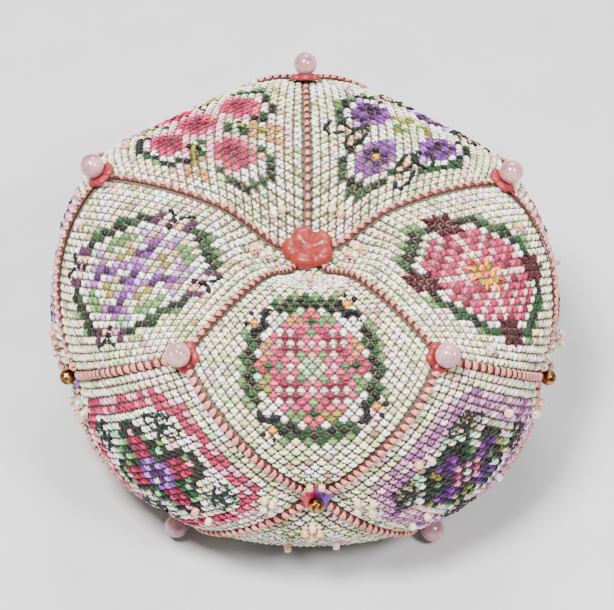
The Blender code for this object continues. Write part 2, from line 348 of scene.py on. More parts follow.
    def settle(self, points: Array, floor: float) -> Array:
        """Press points of the cloth flat under sewn-on pieces and on the floor.

        Args:
            points: Points of the cloth, along the last axis.
            floor: Lowest height that a point may keep.

        Returns:
            The settled points.
        """
        points = points.copy()
        for seat in self.seats():
            offset = points - seat.point
            height = offset @ seat.direction
            across = np.linalg.norm(offset - height[..., None] * seat.direction, axis=-1)
            limit = self.wall_slope * np.maximum(0.0, across - seat.radius - self.seat_margin)
            over = np.maximum(0.0, height - limit)
            points -= over[..., None] * seat.direction
        points[..., 2] = np.maximum(points[..., 2], floor)
        return points

    def free_share(self, points: Array, kept: float) -> Array:
        """Share of its height that a stitch keeps: less under a sewn-on piece."""
        share = np.ones(points.shape[:-1])
        for seat in self.seats():
            across = np.linalg.norm(points - seat.point, axis=-1)
            clear = np.clip((across - seat.radius) / self.seat_margin, 0.0, 1.0)
            share = np.minimum(share, kept + (1.0 - kept) * clear)
        return share


# ---- Meshes and materials that the makers below share ----


def new_object(name: str, mesh: Mesh, material: Material) -> Object:
    """Add a finished mesh to the scene as a piece of the ball.

    Args:
        name: Name of the piece.
        mesh: Its mesh, already in place.
        material: Its finish.

    Returns:
        The piece, riding on the ball's body.
    """
    mesh.name = name
    mesh.materials.clear()
    mesh.materials.append(material)
    obj = bpy.data.objects.new(name, mesh)
    bpy.context.scene.collection.objects.link(obj)
    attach(obj, BODY)
    return obj


def only(obj: Object) -> None:
    """Make an object the one that is selected and active."""
    bpy.ops.object.select_all(action="DESELECT")
    obj.select_set(True)
    bpy.context.view_layer.objects.active = obj


def blank(add: Callable[..., set[str]], **sizes: object) -> Object:
    """Add a primitive to be shaped, with nothing else selected."""
    bpy.ops.object.select_all(action="DESELECT")
    add(**sizes)
    return bpy.context.active_object


def finish_with(obj: Object, name: str, kind: str, **settings: object) -> None:
    """Add a modifier to an object and apply it.

    Args:
        obj: The object.
        name: Name of the modifier.
        kind: Blender's name of its type.
        settings: Properties to set on it.
    """
    only(obj)
    modifier = obj.modifiers.new(name, kind)
    for key, value in settings.items():
        setattr(modifier, key, value)
    bpy.ops.object.modifier_apply(modifier=modifier.name)


def take_mesh(obj: Object) -> Mesh:
    """Take a modelled object's mesh and remove the object."""
    mesh = obj.data
    bpy.data.objects.remove(obj)
    return mesh


def points_of(mesh: Mesh) -> Array:
    """Places of a mesh's vertices."""
    flat = np.empty(len(mesh.vertices) * 3)
    mesh.vertices.foreach_get("co", flat)
    return flat.reshape(-1, 3)


def colour_points(mesh: Mesh, layer: str, colour: Array) -> None:
    """Keep a linear colour for each vertex in an attribute."""
    full = np.concatenate((colour, np.ones((len(colour), 1))), axis=1)
    mesh.attributes.new(layer, "FLOAT_COLOR", "POINT").data.foreach_set("color", full.ravel())


@dataclass(frozen=True)
class Section:
    """Cross-section of a strand of floss: how far across and up each of its corners lies."""

    across: tuple[float, ...]
    up: tuple[float, ...]


ROUND_SECTION = Section((-1.0, -0.6, 0.6, 1.0, 0.0), (-0.2, 0.8, 0.8, -0.2, -0.8))
SLIM_SECTION = Section((-1.0, 0.0, 1.0, 0.0), (-0.1, 0.9, -0.1, -0.8))


@dataclass
class Strands:
    """Many short strands of floss with the same number of points.

    Attributes:
        path: Middle of each strand at each point, in rows of strands.
        up: Direction away from the cloth at each point.
        half_width: Half the width at each point.
        half_height: Half the thickness at each point.
        colour: Linear colour of each strand.
        section: Cross-section that they share.
    """

    path: Array
    up: Array
    half_width: Array
    half_height: Array
    colour: Array
    section: Section

    def points(self) -> Array:
        """All points of the strands, by strand, place along it and place round it."""
        along = unit(np.gradient(self.path, axis=1))
        across = unit(np.cross(along, self.up))
        over = unit(np.cross(across, along))
        side = across[:, :, None] * np.array(self.section.across)[:, None]
        top = over[:, :, None] * np.array(self.section.up)[:, None]
        return (self.path[:, :, None] + side * self.half_width[:, :, None, None]
                + top * self.half_height[:, :, None, None])


def strand_mesh(name: str, bundles: list[Strands]) -> Mesh:
    """Make one mesh of closed strands, none of them below the floor.

    Args:
        name: Name of the mesh.
        bundles: The strands, each bundle with its own counts.

    Returns:
        A smooth mesh with the strands' colours in "floss" and their length and girth in its UVs.
    """
    points, colours, loops, sizes, uvs = [], [], [], [], []
    start = 0
    for bundle in bundles:
        made = bundle.points()
        count, steps, corners = made.shape[:3]
        made[..., 2] = np.maximum(made[..., 2], 0.0)
        index = start + np.arange(count * steps * corners).reshape(count, steps, corners)
        after = np.roll(index, -1, axis=2)
        quads = np.stack((index[:, :-1], after[:, :-1], after[:, 1:], index[:, 1:]), -1)
        step, corner = np.meshgrid(np.arange(steps - 1), np.arange(corners), indexing="ij")
        length = np.stack((step, step, step + 1, step + 1), -1) / (steps - 1)
        girth = np.stack((corner, corner + 1, corner + 1, corner), -1) / corners
        quad_uv = np.broadcast_to(np.stack((length, girth), -1), (count, *length.shape, 2))
        caps = np.concatenate((index[:, 0, ::-1], index[:, -1]))
        cap_uv = np.zeros((caps.size, 2))
        cap_uv[caps.size // 2:, 0] = 1.0
        points.append(made.reshape(-1, 3))
        colours.append(np.repeat(bundle.colour, steps * corners, axis=0))
        loops += [quads.ravel(), caps.ravel()]
        sizes += [np.full(quads.size // 4, 4), np.full(len(caps), corners)]
        uvs += [quad_uv.reshape(-1, 2), cap_uv]
        start += index.size
    return fill_mesh(name, *(np.concatenate(part) for part in (points, loops, sizes, uvs)),
                     "floss", np.concatenate(colours))


def fill_mesh(name: str, points: Array, loops: Array, sizes: Array, uvs: Array, layer: str,
              colour: Array) -> Mesh:
    """Make a smooth mesh from arrays.

    Args:
        name: Name of the mesh.
        points: Place of each vertex.
        loops: Vertex of each face corner, face after face.
        sizes: Number of corners of each face.
        uvs: Map place of each face corner.
        layer: Name of the attribute that keeps the colours.
        colour: Linear colour of each vertex.

    Returns:
        The mesh.
    """
    mesh = bpy.data.meshes.new(name)
    mesh.vertices.add(len(points))
    mesh.vertices.foreach_set("co", points.ravel())
    mesh.loops.add(len(loops))
    mesh.loops.foreach_set("vertex_index", loops)
    mesh.polygons.add(len(sizes))
    mesh.polygons.foreach_set("loop_start", np.concatenate(((0,), np.cumsum(sizes)[:-1])))
    mesh.update(calc_edges=True)
    mesh.uv_layers.new(name="along").data.foreach_set("uv", uvs.ravel())
    colour_points(mesh, layer, colour)
    mesh.shade_smooth()
    return mesh


@dataclass
class Shader:
    """Builds one material or node group by adding nodes and joining them."""

    tree: NodeTree

    def fit(self, node: Node, inputs: dict[int | str, object]) -> Node:
        """Fill inputs of a node.

        Args:
            node: The node.
            inputs: A socket to link, or else a value to set, for each input.

        Returns:
            The node.
        """
        for key, given in inputs.items():
            if isinstance(given, NodeSocket):
                self.tree.links.new(given, node.inputs[key])
            else:
                node.inputs[key].default_value = given
        return node

    def add(self, kind: str, inputs: dict[int | str, object] | None = None,
            **settings: object) -> Node:
        """Add a node.

        Args:
            kind: Blender's name of the node type.
            inputs: What its inputs get, as in fit.
            settings: Properties to set on it first.

        Returns:
            The node.
        """
        node = self.tree.nodes.new(kind)
        for key, setting in settings.items():
            setattr(node, key, setting)
        return self.fit(node, inputs or {})

    def math(self, operation: str, *values: object) -> NodeSocket:
        """Work out an operation on sockets or numbers."""
        given = dict(enumerate(values))
        return self.add("ShaderNodeMath", given, operation=operation).outputs[0]

    def here(self) -> NodeSocket:
        """Place in the ball's own coordinates."""
        return self.add("ShaderNodeTexCoord").outputs["Object"]

    def along(self) -> NodeSocket:
        """Place in the map of a strand or a square."""
        return self.add("ShaderNodeUVMap", uv_map="along").outputs["UV"]

    def noise(self, place: NodeSocket, scale: object, **inputs: float) -> NodeSocket:
        """Noise at a place, with a scale and other inputs."""
        given = {"Vector": place, "Scale": scale, **inputs}
        return self.add("ShaderNodeTexNoise", given).outputs["Fac"]

    def ramp(self, source: NodeSocket, *stops: tuple[float, Array]) -> NodeSocket:
        """Colour that a value reads between two stops, each a place and a linear colour."""
        node = self.add("ShaderNodeValToRGB", {"Fac": source})
        for element, (place, colour) in zip(node.color_ramp.elements, stops):
            element.position = place
            element.color = (*colour, 1.0)
        return node.outputs["Color"]

    def tinted(self, attribute: str, light: NodeSocket) -> NodeSocket:
        """Colour of an attribute, shaded by a value."""
        colour = self.add("ShaderNodeAttribute", attribute_name=attribute).outputs["Color"]
        return self.add("ShaderNodeMix", {"Factor": 1.0, 6: colour, 7: light},
                        data_type="RGBA", blend_type="MULTIPLY").outputs[2]

    def bump(self, height: NodeSocket, strength: float, distance: float) -> NodeSocket:
        """Normal of a surface that is raised by a height."""
        given = {"Strength": strength, "Distance": distance, "Height": height}
        return self.add("ShaderNodeBump", given).outputs["Normal"]

    def group(self, tree: NodeTree, **inputs: object) -> NodeOutputs:
        """Outputs of a node group that is placed with its own inputs."""
        return self.add("ShaderNodeGroup", inputs, node_tree=tree).outputs


def new_group(name: str, inputs: dict[str, float | None],
              outputs: tuple[str, ...]) -> tuple[Shader, NodeOutputs, Node]:
    """Start a shader node group.

    Args:
        name: Name of the group.
        inputs: Default of each named input, or none where it takes a vector.
        outputs: Names of its outputs, all values.

    Returns:
        Its builder, what its inputs give and its output node.
    """
    tree = bpy.data.node_groups.new(name, "ShaderNodeTree")
    for key, default in inputs.items():
        kind = "NodeSocketVector" if default is None else "NodeSocketFloat"
        socket = tree.interface.new_socket(name=key, in_out="INPUT", socket_type=kind)
        if default is not None:
            socket.default_value = default
    for key in outputs:
        tree.interface.new_socket(name=key, in_out="OUTPUT", socket_type="NodeSocketFloat")
    shader = Shader(tree)
    return shader, shader.add("NodeGroupInput").outputs, shader.add("NodeGroupOutput")


def floss_twist_group() -> NodeTree:
    """Plies twisted round a strand: painted shade that darkens the floss between its plies, and how
    high it stands.
    """
    shader, given, out = new_group("Floss twist", {"Map": None, "Plies": 2.0, "Turns": 2.0},
                                   ("Light", "Height"))
    split = shader.add("ShaderNodeSeparateXYZ", {0: given["Map"]}).outputs
    length = shader.math("MULTIPLY", split["X"], given["Turns"])
    girth = shader.math("MULTIPLY_ADD", split["Y"], given["Plies"], length)
    wave = shader.math("ABSOLUTE", shader.math("SINE", shader.math("MULTIPLY", girth, math.pi)))
    fibre = shader.noise(shader.here(), 3200.0)
    height = shader.math("MULTIPLY_ADD", fibre, 0.35, wave)
    # Painted shade: the floss is darker where the twist sinks between plies.
    shader.fit(out, {"Height": height, "Light": shader.math("MULTIPLY_ADD", height, 0.34, 0.68)})
    return shader.tree


def mottle_group() -> NodeTree:
    """Soft clouds and fine grain in glass, pearl and bronze, read in the ball's own place."""
    shader, given, out = new_group("Soft mottle", {"Scale": 300.0, "Spread": 1.0},
                                   ("Cloud", "Grain"))
    place = shader.here()
    cloud = shader.noise(place, given["Scale"], Detail=3.0, Distortion=0.8)
    centred = shader.math("SUBTRACT", cloud, 0.5)
    shader.fit(out, {
        "Cloud": shader.math("MULTIPLY_ADD", centred, given["Spread"], 0.5),
        "Grain": shader.noise(place, shader.math("MULTIPLY", given["Scale"], 9.0))})
    return shader.tree


def linen_group() -> NodeTree:
    """Evenweave linen from a map in threads: the holes that stitches share, height and slubs."""
    shader, given, out = new_group("Evenweave", {"Threads": None}, ("Hole", "Height", "Slub"))
    split = shader.add("ShaderNodeSeparateXYZ", {0: given["Threads"]}).outputs
    waves = [shader.math("COSINE", shader.math("MULTIPLY", split[axis], math.pi))
             for axis in "XY"]
    both = shader.math("ADD", *waves)
    opened = shader.math("MAXIMUM", shader.math("MULTIPLY_ADD", both, 1.4, -1.6), 0.0)
    shader.fit(out, {"Hole": shader.math("SMOOTH_MIN", opened, 1.0, 0.2),
                     "Height": shader.math("MULTIPLY", both, -0.5),
                     "Slub": shader.noise(given["Threads"], 1.3)})
    return shader.tree


@dataclass(frozen=True)
class Finish:
    """A surface finish; its subclasses lay out the nodes."""

    name: str
    roughness: float

    def start(self) -> tuple[Material, Shader, Node]:
        """Start a material: it, its builder and its Principled shader."""
        material = bpy.data.materials.new(self.name)
        material.use_nodes = True
        surface = material.node_tree.nodes["Principled BSDF"]
        surface.inputs["Roughness"].default_value = self.roughness
        return material, Shader(material.node_tree), surface


@dataclass(frozen=True)
class FlossFinish(Finish):
    """Stranded cotton in each strand's own colour, with painted shade between its twisted plies and
    a soft sheen.
    """

    plies: float = 3.0
    turns: float = 2.5
    sheen: float = 0.04
    gleam: float = 0.3
    relief: float = 0.12 * MM

    def make(self, twist: NodeTree) -> Material:
        """Lay out the nodes round the shared twist."""
        material, shader, surface = self.start()
        plies = shader.group(twist, Map=shader.along(), Plies=self.plies, Turns=self.turns)
        shader.fit(surface, {
            "Base Color": shader.tinted("floss", plies["Light"]),
            "Roughness": shader.math("MULTIPLY_ADD", plies["Light"], -0.3, self.roughness + 0.25),
            "Sheen Weight": self.sheen,
            "Specular IOR Level": self.gleam,
            "Normal": shader.bump(plies["Height"], 0.5, self.relief)})
        return material


@dataclass(frozen=True)
class LinenFinish(Finish):
    """Evenweave linen under the stitches, with painted shade: its threads are darkened and its holes
    near black where they show between the stitches.
    """

    # Painted shade: the linen only shows in the gaps between stitches, so its threads are darkened
    # and its holes near black.
    threads: Tone = (98, 84, 68)
    hole: Tone = (20, 14, 12)
    slub_shade: float = 0.8
    relief: float = 0.2 * MM

    def make(self, weave: NodeTree, scale: float, offset: float) -> Material:
        """Lay out the nodes.

        Args:
            weave: The shared evenweave group.
            scale: Threads across a whole square.
            offset: Where the first thread starts.

        Returns:
            The material.
        """
        material, shader, surface = self.start()
        threads = shader.add("ShaderNodeMapping", {
            "Vector": shader.along(), "Scale": (scale, scale, 1.0),
            "Location": (offset, offset, 0.0)})
        cloth = shader.group(weave, Threads=threads.outputs["Vector"])
        pale = to_linear(self.threads)
        slubby = shader.ramp(cloth["Slub"], (0.3, pale * self.slub_shade), (0.7, pale))
        # Painted shade: the holes between stitches are painted near black.
        painted_hole_shade = shader.add("ShaderNodeMix", {
            "Factor": cloth["Hole"], 6: slubby, 7: (*to_linear(self.hole), 1.0)},
            data_type="RGBA")
        shader.fit(surface, {
            "Base Color": painted_hole_shade.outputs[2],
            "Roughness": shader.math("MULTIPLY_ADD", cloth["Slub"], 0.1, self.roughness - 0.05),
            "Normal": shader.bump(cloth["Height"], 0.6, self.relief)})
        return material


@dataclass(frozen=True)
class NacreFinish(Finish):
    """Pearl: clouded between two tints under a clear gloss."""

    light: Tone = (196, 146, 142)
    dark: Tone = (136, 92, 106)
    sheen: float = 0.3
    cloud_scale: float = 190.0
    relief: float = 0.05 * MM

    def make(self, mottle: NodeTree) -> Material:
        """Lay out the nodes round the shared mottle."""
        material, shader, surface = self.start()
        clouds = shader.group(mottle, Scale=self.cloud_scale, Spread=2.0)
        shader.fit(surface, {
            "Base Color": shader.ramp(clouds["Cloud"], (0.25, to_linear(self.dark)),
                                      (0.75, to_linear(self.light))),
            "Roughness": shader.math("MULTIPLY_ADD", clouds["Grain"], 0.1, self.roughness - 0.05),
            "Coat Weight": 1.0,
            "Coat Roughness": 0.04,
            "Sheen Weight": self.sheen,
            "Sheen Tint": (1.0, 0.62, 0.72, 1.0),
            "Subsurface Weight": 0.15,
            "Subsurface Scale": 1.5 * MM,
            "Normal": shader.bump(clouds["Grain"], 0.08, self.relief)})
        return material


@dataclass(frozen=True)
class GlassFinish(Finish):
    """Pressed glass in each petal's or bead's own tint, cloudy and partly clear."""

    clear: float = 0.3
    coat: float = 0.08
    gleam: float = 0.3
    cloud_scale: float = 420.0
    relief: float = 0.1 * MM

    def make(self, mottle: NodeTree) -> Material:
        """Lay out the nodes round the shared mottle."""
        material, shader, surface = self.start()
        clouds = shader.group(mottle, Scale=self.cloud_scale, Spread=2.0)
        pale = shader.math("MULTIPLY_ADD", clouds["Cloud"], 0.5, 0.75)
        shader.fit(surface, {
            "Base Color": shader.tinted("tint", pale),
            "Roughness": shader.math("MULTIPLY_ADD", clouds["Grain"], 0.12, self.roughness - 0.06),
            "Transmission Weight": self.clear,
            "IOR": 1.5,
            "Coat Weight": self.coat,
            "Specular IOR Level": self.gleam,
            "Subsurface Weight": 0.2,
            "Subsurface Scale": 1.0 * MM,
            "Normal": shader.bump(clouds["Cloud"], 0.05, self.relief)})
        return material


@dataclass(frozen=True)
class BronzeFinish(Finish):
    """Dark gold plating, lighter in random clouds."""

    light: Tone = (184, 134, 74)
    dark: Tone = (58, 32, 14)
    cloud_scale: float = 700.0
    relief: float = 0.05 * MM

    def make(self, mottle: NodeTree) -> Material:
        """Lay out the nodes round the shared mottle."""
        material, shader, surface = self.start()
        clouds = shader.group(mottle, Scale=self.cloud_scale, Spread=2.2)
        shader.fit(surface, {
            "Base Color": shader.ramp(clouds["Cloud"], (0.2, to_linear(self.dark)),
                                      (0.8, to_linear(self.light))),
            "Roughness": shader.math("MULTIPLY_ADD", clouds["Grain"], 0.25, self.roughness - 0.1),
            "Metallic": 1.0,
            "Normal": shader.bump(clouds["Grain"], 0.1, self.relief)})
        return material


@dataclass
class Finishes:
    """Every material of the ball, each made once."""

    linen: Material
    stitches: Material
    whipping: Material
    glass: Material
    pearl: Material
    seed: Material
    bronze: Material

    @classmethod
    def make(cls, cloth: "StuffedCloth") -> "Finishes":
        """Make the node groups and the materials round them.

        Args:
            cloth: The cloth, whose stitches set the scale of the weave.

        Returns:
            The finishes.
        """
        twist, mottle, weave = floss_twist_group(), mottle_group(), linen_group()
        inner = 1.0 - 2.0 * cloth.margin
        threads = cloth.threads_a_stitch * STITCHES / inner
        return cls(
            linen=LinenFinish("embroidered_linen_cloth", 0.9).make(
                weave, threads, -cloth.margin * threads),
            stitches=FlossFinish("stitch_floss", 0.5).make(twist),
            whipping=FlossFinish("seam_floss", 0.5, plies=2.0, turns=3.0).make(twist),
            glass=GlassFinish("coral_glass_petals", 0.38).make(mottle),
            pearl=NacreFinish("pearl_nacre", 0.2).make(mottle),
            seed=GlassFinish("seed_bead_glass", 0.12, clear=0.2, coat=0.8, gleam=0.5).make(mottle),
            bronze=BronzeFinish("bronze_plating", 0.26).make(mottle),
        )


# ---- The stuffed cloth ----


@dataclass
class StuffedCloth:
    """The filled linen ball under the stitches, one grid a square, sewn at creased seams.

    Attributes:
        cells: Cells across a square before the last subdivision.
        margin: Share of a square between its seam and the first stitch.
        drawn_in: How much smaller the crown starts, for the filling to swell.
        swell_cap: How far a point may move in the simulation.
        floor_gap: How far the cloth stands off the floor, on its stitches.
        weld: How near two squares' edges lie to be sewn together.
    """

    shape: BallShape
    cells: int = 14
    margin: float = 0.02
    threads_a_stitch: float = 2.0
    drawn_in: float = 0.5 * MM
    swell_cap: float = 1.0 * MM
    floor_gap: float = 0.45 * MM
    weld: float = 0.02 * MM
    frames: int = 20
    pressure: float = 4.0
    squares: list[Square] = field(init=False)
    grid: Array = field(init=False)
    normals: Array = field(init=False)

    def build(self) -> Object:
        """Sew, fill and settle the cloth, and keep its grids for the stitches."""
        self.squares = self.shape.squares()
        obj = self.sew()
        self.fill(obj)
        self.smooth(obj)
        self.read_back(obj.data)
        return obj

    def sew(self) -> Object:
        """Make one grid a square and weld them along their seams."""
        line = np.linspace(0.0, 1.0, self.cells + 1)
        u, v = np.meshgrid(line, line, indexing="ij")
        sewn = bmesh.new()
        square_layer = sewn.faces.layers.int.new("square")
        map_layer = sewn.loops.layers.uv.new("along")
        for number, square in enumerate(self.squares):
            points = self.shape.stuffed(self.shape.net(square), u, v, self.drawn_in)
            rows = [[sewn.verts.new(point) for point in row] for row in points]
            for i, j in np.ndindex(self.cells, self.cells):
                steps = ((i, j), (i + 1, j), (i + 1, j + 1), (i, j + 1))
                face = sewn.faces.new([rows[a][b] for a, b in steps])
                face[square_layer] = number
                for loop, (a, b) in zip(face.loops, steps):
                    loop[map_layer].uv = (a / self.cells, b / self.cells)
        bmesh.ops.remove_doubles(sewn, verts=sewn.verts, dist=self.weld)
        mesh = bpy.data.meshes.new("stuffed_cloth")
        sewn.to_mesh(mesh)
        sewn.free()
        points = points_of(mesh)
        mesh.vertices.foreach_set("co", self.shape.settle(points, self.floor_gap).ravel())
        mesh.update()
        obj = bpy.data.objects.new("stuffed_cloth", mesh)
        bpy.context.scene.collection.objects.link(obj)
        return obj

    @staticmethod
    def seam_edges(mesh: Mesh) -> list[int]:
        """Edges between two squares."""
        number = {}
        for face in mesh.polygons:
            for key in face.edge_keys:
                number.setdefault(key, set()).add(mesh.attributes["square"].data[face.index].value)
        return [edge.index for edge in mesh.edges if len(number[edge.key]) > 1]

    def fill(self, obj: Object) -> None:
        """Swell the squares with the filling, held at their seams, by cloth simulation."""
        only(obj)
        before = points_of(obj.data)
        held = {i for e in self.seam_edges(obj.data) for i in obj.data.edges[e].vertices}
        sewn = obj.vertex_groups.new(name="sewn")
        sewn.add(sorted(held), 1.0, "REPLACE")
        cloth = obj.modifiers.new("filling", "CLOTH")
        cloth.collision_settings.use_collision = False
        cloth.settings.effector_weights.gravity = 0.0
        for key, value in {
                "use_pressure": True, "uniform_pressure_force": self.pressure,
                "vertex_group_mass": sewn.name, "tension_stiffness": 3.0,
                "compression_stiffness": 3.0, "shear_stiffness": 1.0,
                "bending_stiffness": 0.05}.items():
            setattr(cloth.settings, key, value)
        scene = bpy.context.scene
        for number in range(1, self.frames + 1):
            scene.frame_set(number)
        bpy.ops.object.modifier_apply(modifier=cloth.name)
        scene.frame_set(1)
        moved = points_of(obj.data) - before
        far = np.linalg.norm(moved, axis=1, keepdims=True)
        LOG.info("the filling moved the cloth by up to %.2f mm", far.max() / MM)
        capped = before + moved * np.minimum(1.0, self.swell_cap / np.maximum(far, 1e-9))
        obj.data.vertices.foreach_set("co", self.shape.settle(capped, self.floor_gap).ravel())
        obj.vertex_groups.clear()

    def smooth(self, obj: Object) -> None:
        """Subdivide once with creased seams, apply it and settle the cloth again."""
        crease = obj.data.attributes.new("crease_edge", "FLOAT", "EDGE")
        for index in self.seam_edges(obj.data):
            crease.data[index].value = 1.0
        finish_with(obj, "surface", "SUBSURF", levels=1, render_levels=1, uv_smooth="NONE")
        settled = self.shape.settle(points_of(obj.data), self.floor_gap)
        obj.data.vertices.foreach_set("co", settled.ravel())
        obj.data.shade_smooth()
        obj.data.update()

    def read_back(self, mesh: Mesh) -> None:
        """Keep each square's points and normals as a grid."""
        fine = self.cells * 2
        points = points_of(mesh)
        corner = np.empty(len(mesh.loops), int)
        mesh.loops.foreach_get("vertex_index", corner)
        square = np.empty(len(mesh.polygons), int)
        mesh.attributes["square"].data.foreach_get("value", square)
        uv = np.empty(len(mesh.loops) * 2)
        mesh.uv_layers["along"].data.foreach_get("uv", uv)
        place = np.rint(uv.reshape(-1, 2) * fine).astype(int)
        self.grid = np.zeros((len(self.squares), fine + 1, fine + 1, 3))
        self.grid[np.repeat(square, 4), place[:, 0], place[:, 1]] = points[corner]
        along_u = np.gradient(self.grid, axis=1)
        along_v = np.gradient(self.grid, axis=2)
        self.normals = unit(np.cross(along_u, along_v))

    def lay(self, square: int, across: Array, down: Array) -> tuple[Array, Array]:
        """Find places on a square, measured in stitches.

        Args:
            square: Number of the square.
            across: Stitches from the top corner towards the left one.
            down: Stitches from the top corner towards the right one.

        Returns:
            The points and the outward directions there.
        """
        fine = self.grid.shape[1] - 1
        inner = 1.0 - 2.0 * self.margin
        u, v = (np.clip((self.margin + inner * way / STITCHES) * fine, 0.0, fine - 1e-6)
                for way in (across, down))
        i, j = u.astype(int), v.astype(int)
        s, t = (u - i)[..., None], (v - j)[..., None]
        found = []
        for grid in (self.grid[square], self.normals[square]):
            found.append((grid[i, j] * (1 - s) + grid[i + 1, j] * s) * (1 - t)
                         + (grid[i, j + 1] * (1 - s) + grid[i + 1, j + 1] * s) * t)
        return found[0], unit(found[1])

    def dress(self, obj: Object, finishes: Finishes) -> None:
        """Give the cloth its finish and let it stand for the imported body."""
        obj.data.materials.clear()
        obj.data.materials.append(finishes.linen)
        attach(obj, BODY)
        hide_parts("cushion_body")


# ---- Charts of the squares ----


# Middles of four flowers, one towards each corner of a square, in stitches.
AROUND = ((-4, 0), (4, 0), (0, -4), (0, 4))


@dataclass
class Chart:
    """Chart of one square: the colour of each of its stitches, and lines of backstitch.

    Positions a and b are counted in stitches from the middle of the square, towards its left and
    its right corner. A motif that is worked four times is drawn once, outwards from the middle
    and clockwise, and turned to each side.
    """

    seed: int
    cloud_size: float = 4.5
    speckle: float = 0.28
    knot_size: float = 0.22
    colours: Array = field(init=False)
    lines: list[tuple[float, float, float, float, Floss]] = field(default_factory=list)

    def __post_init__(self) -> None:
        """Lay out the square and work its pale ground."""
        half = STITCHES // 2
        self.a, self.b = np.mgrid[-half:half + 1, -half:half + 1]
        self.radius = np.hypot(self.a, self.b)
        self.turn = np.arctan2(self.b, self.a)
        self.random = np.random.default_rng(self.seed)
        self.colours = np.zeros((STITCHES, STITCHES, 3))
        self.ground(self.radius >= 0.0, CREAM=0.28, PALE_GREEN=0.24, BLUSH=0.19, ICE=0.25,
                    SAND=0.04)

    def clouds(self, wave: float) -> Array:
        """Smooth random field over the square, spread evenly from 0 to 1.

        Args:
            wave: About how many stitches its clouds are across.

        Returns:
            A value for each stitch.
        """
        total = np.zeros_like(self.radius)
        for _ in range(7):
            heading, phase = self.random.uniform(0.0, math.tau, 2)
            length = wave * self.random.uniform(0.8, 1.8)
            total += np.cos((self.a * math.cos(heading) + self.b * math.sin(heading))
                            * math.tau / length + phase)
        order = total.ravel().argsort().argsort()
        return order.reshape(total.shape) / total.size

    def ground(self, mask: Array, **shares: float) -> None:
        """Fill stitches with variegated floss.

        Args:
            mask: Stitches to fill.
            shares: Share of the ground that each named floss takes.
        """
        value = self.clouds(self.cloud_size)
        value = (value + self.random.uniform(-self.speckle, self.speckle, mask.shape)) % 1.0
        edge = 0.0
        for name, share in shares.items():
            self.paint((mask & (value >= edge) & (value < edge + share), Floss[name]))
            edge += share

    def paint(self, *rows: tuple[Array, Floss]) -> None:
        """Work the stitches of each mask in its floss, one over the other."""
        for mask, floss in rows:
            self.colours[mask] = floss.linear()

    def cells(self, side: int, *rows: tuple[tuple[Place, ...], Floss]) -> None:
        """Work single stitches of a motif that is turned to a side.

        Args:
            side: Which of the four sides it is turned to.
            rows: Stitches outwards from the middle and clockwise, and their floss.
        """
        for places, floss in rows:
            for out, clock in places:
                self.paint((self.steps(*self.turned(side, out, clock)) == 0, floss))

    @staticmethod
    def turned(side: int, out: float, clock: float) -> Place:
        """Place in the chart of a place in a motif that is turned to a side."""
        return ((-out, clock), (clock, out), (out, -clock), (-clock, -out))[side]

    def steps(self, a: float, b: float) -> Array:
        """Stitches across plus stitches down from a place."""
        return np.abs(self.a - a) + np.abs(self.b - b)

    def within(self, near: float, far: float) -> Array:
        """Stitches between two distances from the middle."""
        return (self.radius > near) & (self.radius < far)

    def each(self, lean: int, every: int, at: int = 0) -> Array:
        """Slanting rows of stitches that return every so many stitches."""
        return (self.a + lean * self.b) % every == at

    def octagon(self, span: int, bevel: int) -> Array:
        """Stitches up to a span from the middle, and up to a bevel towards the corners."""
        return (np.maximum(np.abs(self.a), np.abs(self.b)) <= span) & (self.steps(0, 0) <= bevel)

    def outward(self, a: float, b: float) -> Array:
        """How far each stitch lies beyond a place, on the way out from the middle."""
        return ((self.a - a) * a + (self.b - b) * b) / max(1.0, math.hypot(a, b))

    def far(self, a: float, b: float) -> Array:
        """Straight distance from a place."""
        return np.hypot(self.a - a, self.b - b)

    def line(self, points: list[Place], floss: Floss) -> None:
        """Add backstitch from point to point."""
        for (a, b), (c, d) in zip(points, points[1:]):
            self.lines.append((a, b, c, d, floss))

    def turned_line(self, side: int, points: tuple[Place, ...], floss: Floss) -> None:
        """Add backstitch of a motif that is turned to a side."""
        self.line([self.turned(side, out, clock) for out, clock in points], floss)

    def knot(self, a: float, b: float, floss: Floss) -> None:
        """Add a small knot: two short stitches across each other."""
        size = self.knot_size
        for lean in (size, -size):
            self.line([(a - size, b - lean), (a + size, b + lean)], floss)

    def loop(self, a: float, b: float, long: float, wide: float, heading: float,
             floss: Floss) -> None:
        """Outline a leaf: a closed loop from its stalk end.

        Args:
            a: Stalk end, towards the left corner.
            b: Stalk end, towards the right corner.
            long: Length of the leaf in stitches.
            wide: Its width.
            heading: Direction that it points to, in radians.
            floss: Floss of the outline.
        """
        points = []
        for t in np.linspace(0.0, math.tau, 9):
            along = long * (1.0 - math.cos(t)) / 2
            off = wide / 2 * math.sin(t)
            points.append((a + along * math.cos(heading) - off * math.sin(heading),
                           b + along * math.sin(heading) + off * math.cos(heading)))
        self.line(points, floss)

    def from_sides(self) -> Array:
        """Angle from the nearest of the four sides, for each stitch."""
        return np.abs((self.turn + math.pi / 4) % (math.pi / 2) - math.pi / 4)

    def wreath(self, icy: float, open_deg: float, inner: float, outer: float) -> None:
        """Ring of leaves round a pale cold ground, dark within and scalloped sage without.

        Args:
            icy: How far out the cold ground reaches, in stitches.
            open_deg: Half the angle of its opening towards each of the four sides.
            inner: How far out its dark chain starts, in stitches.
            outer: How far out its leaves reach.
        """
        self.ground(self.radius < icy, ICE=0.66, MINT=0.1, CREAM=0.12, BLUSH=0.12)
        leafy = (self.from_sides() > math.radians(open_deg)) & (self.radius >= inner)
        leaves = leafy & (self.radius < outer + 0.45 * np.sin(self.turn * 20.0))
        self.paint((leaves, Floss.SAGE), (leaves & self.each(2, 4), Floss.FOREST))
        chain = leafy & (self.radius < inner + 1.3)
        self.paint((chain, Floss.FOREST), (chain & (self.clouds(2.2) > 0.5), Floss.DEEP_GREEN))

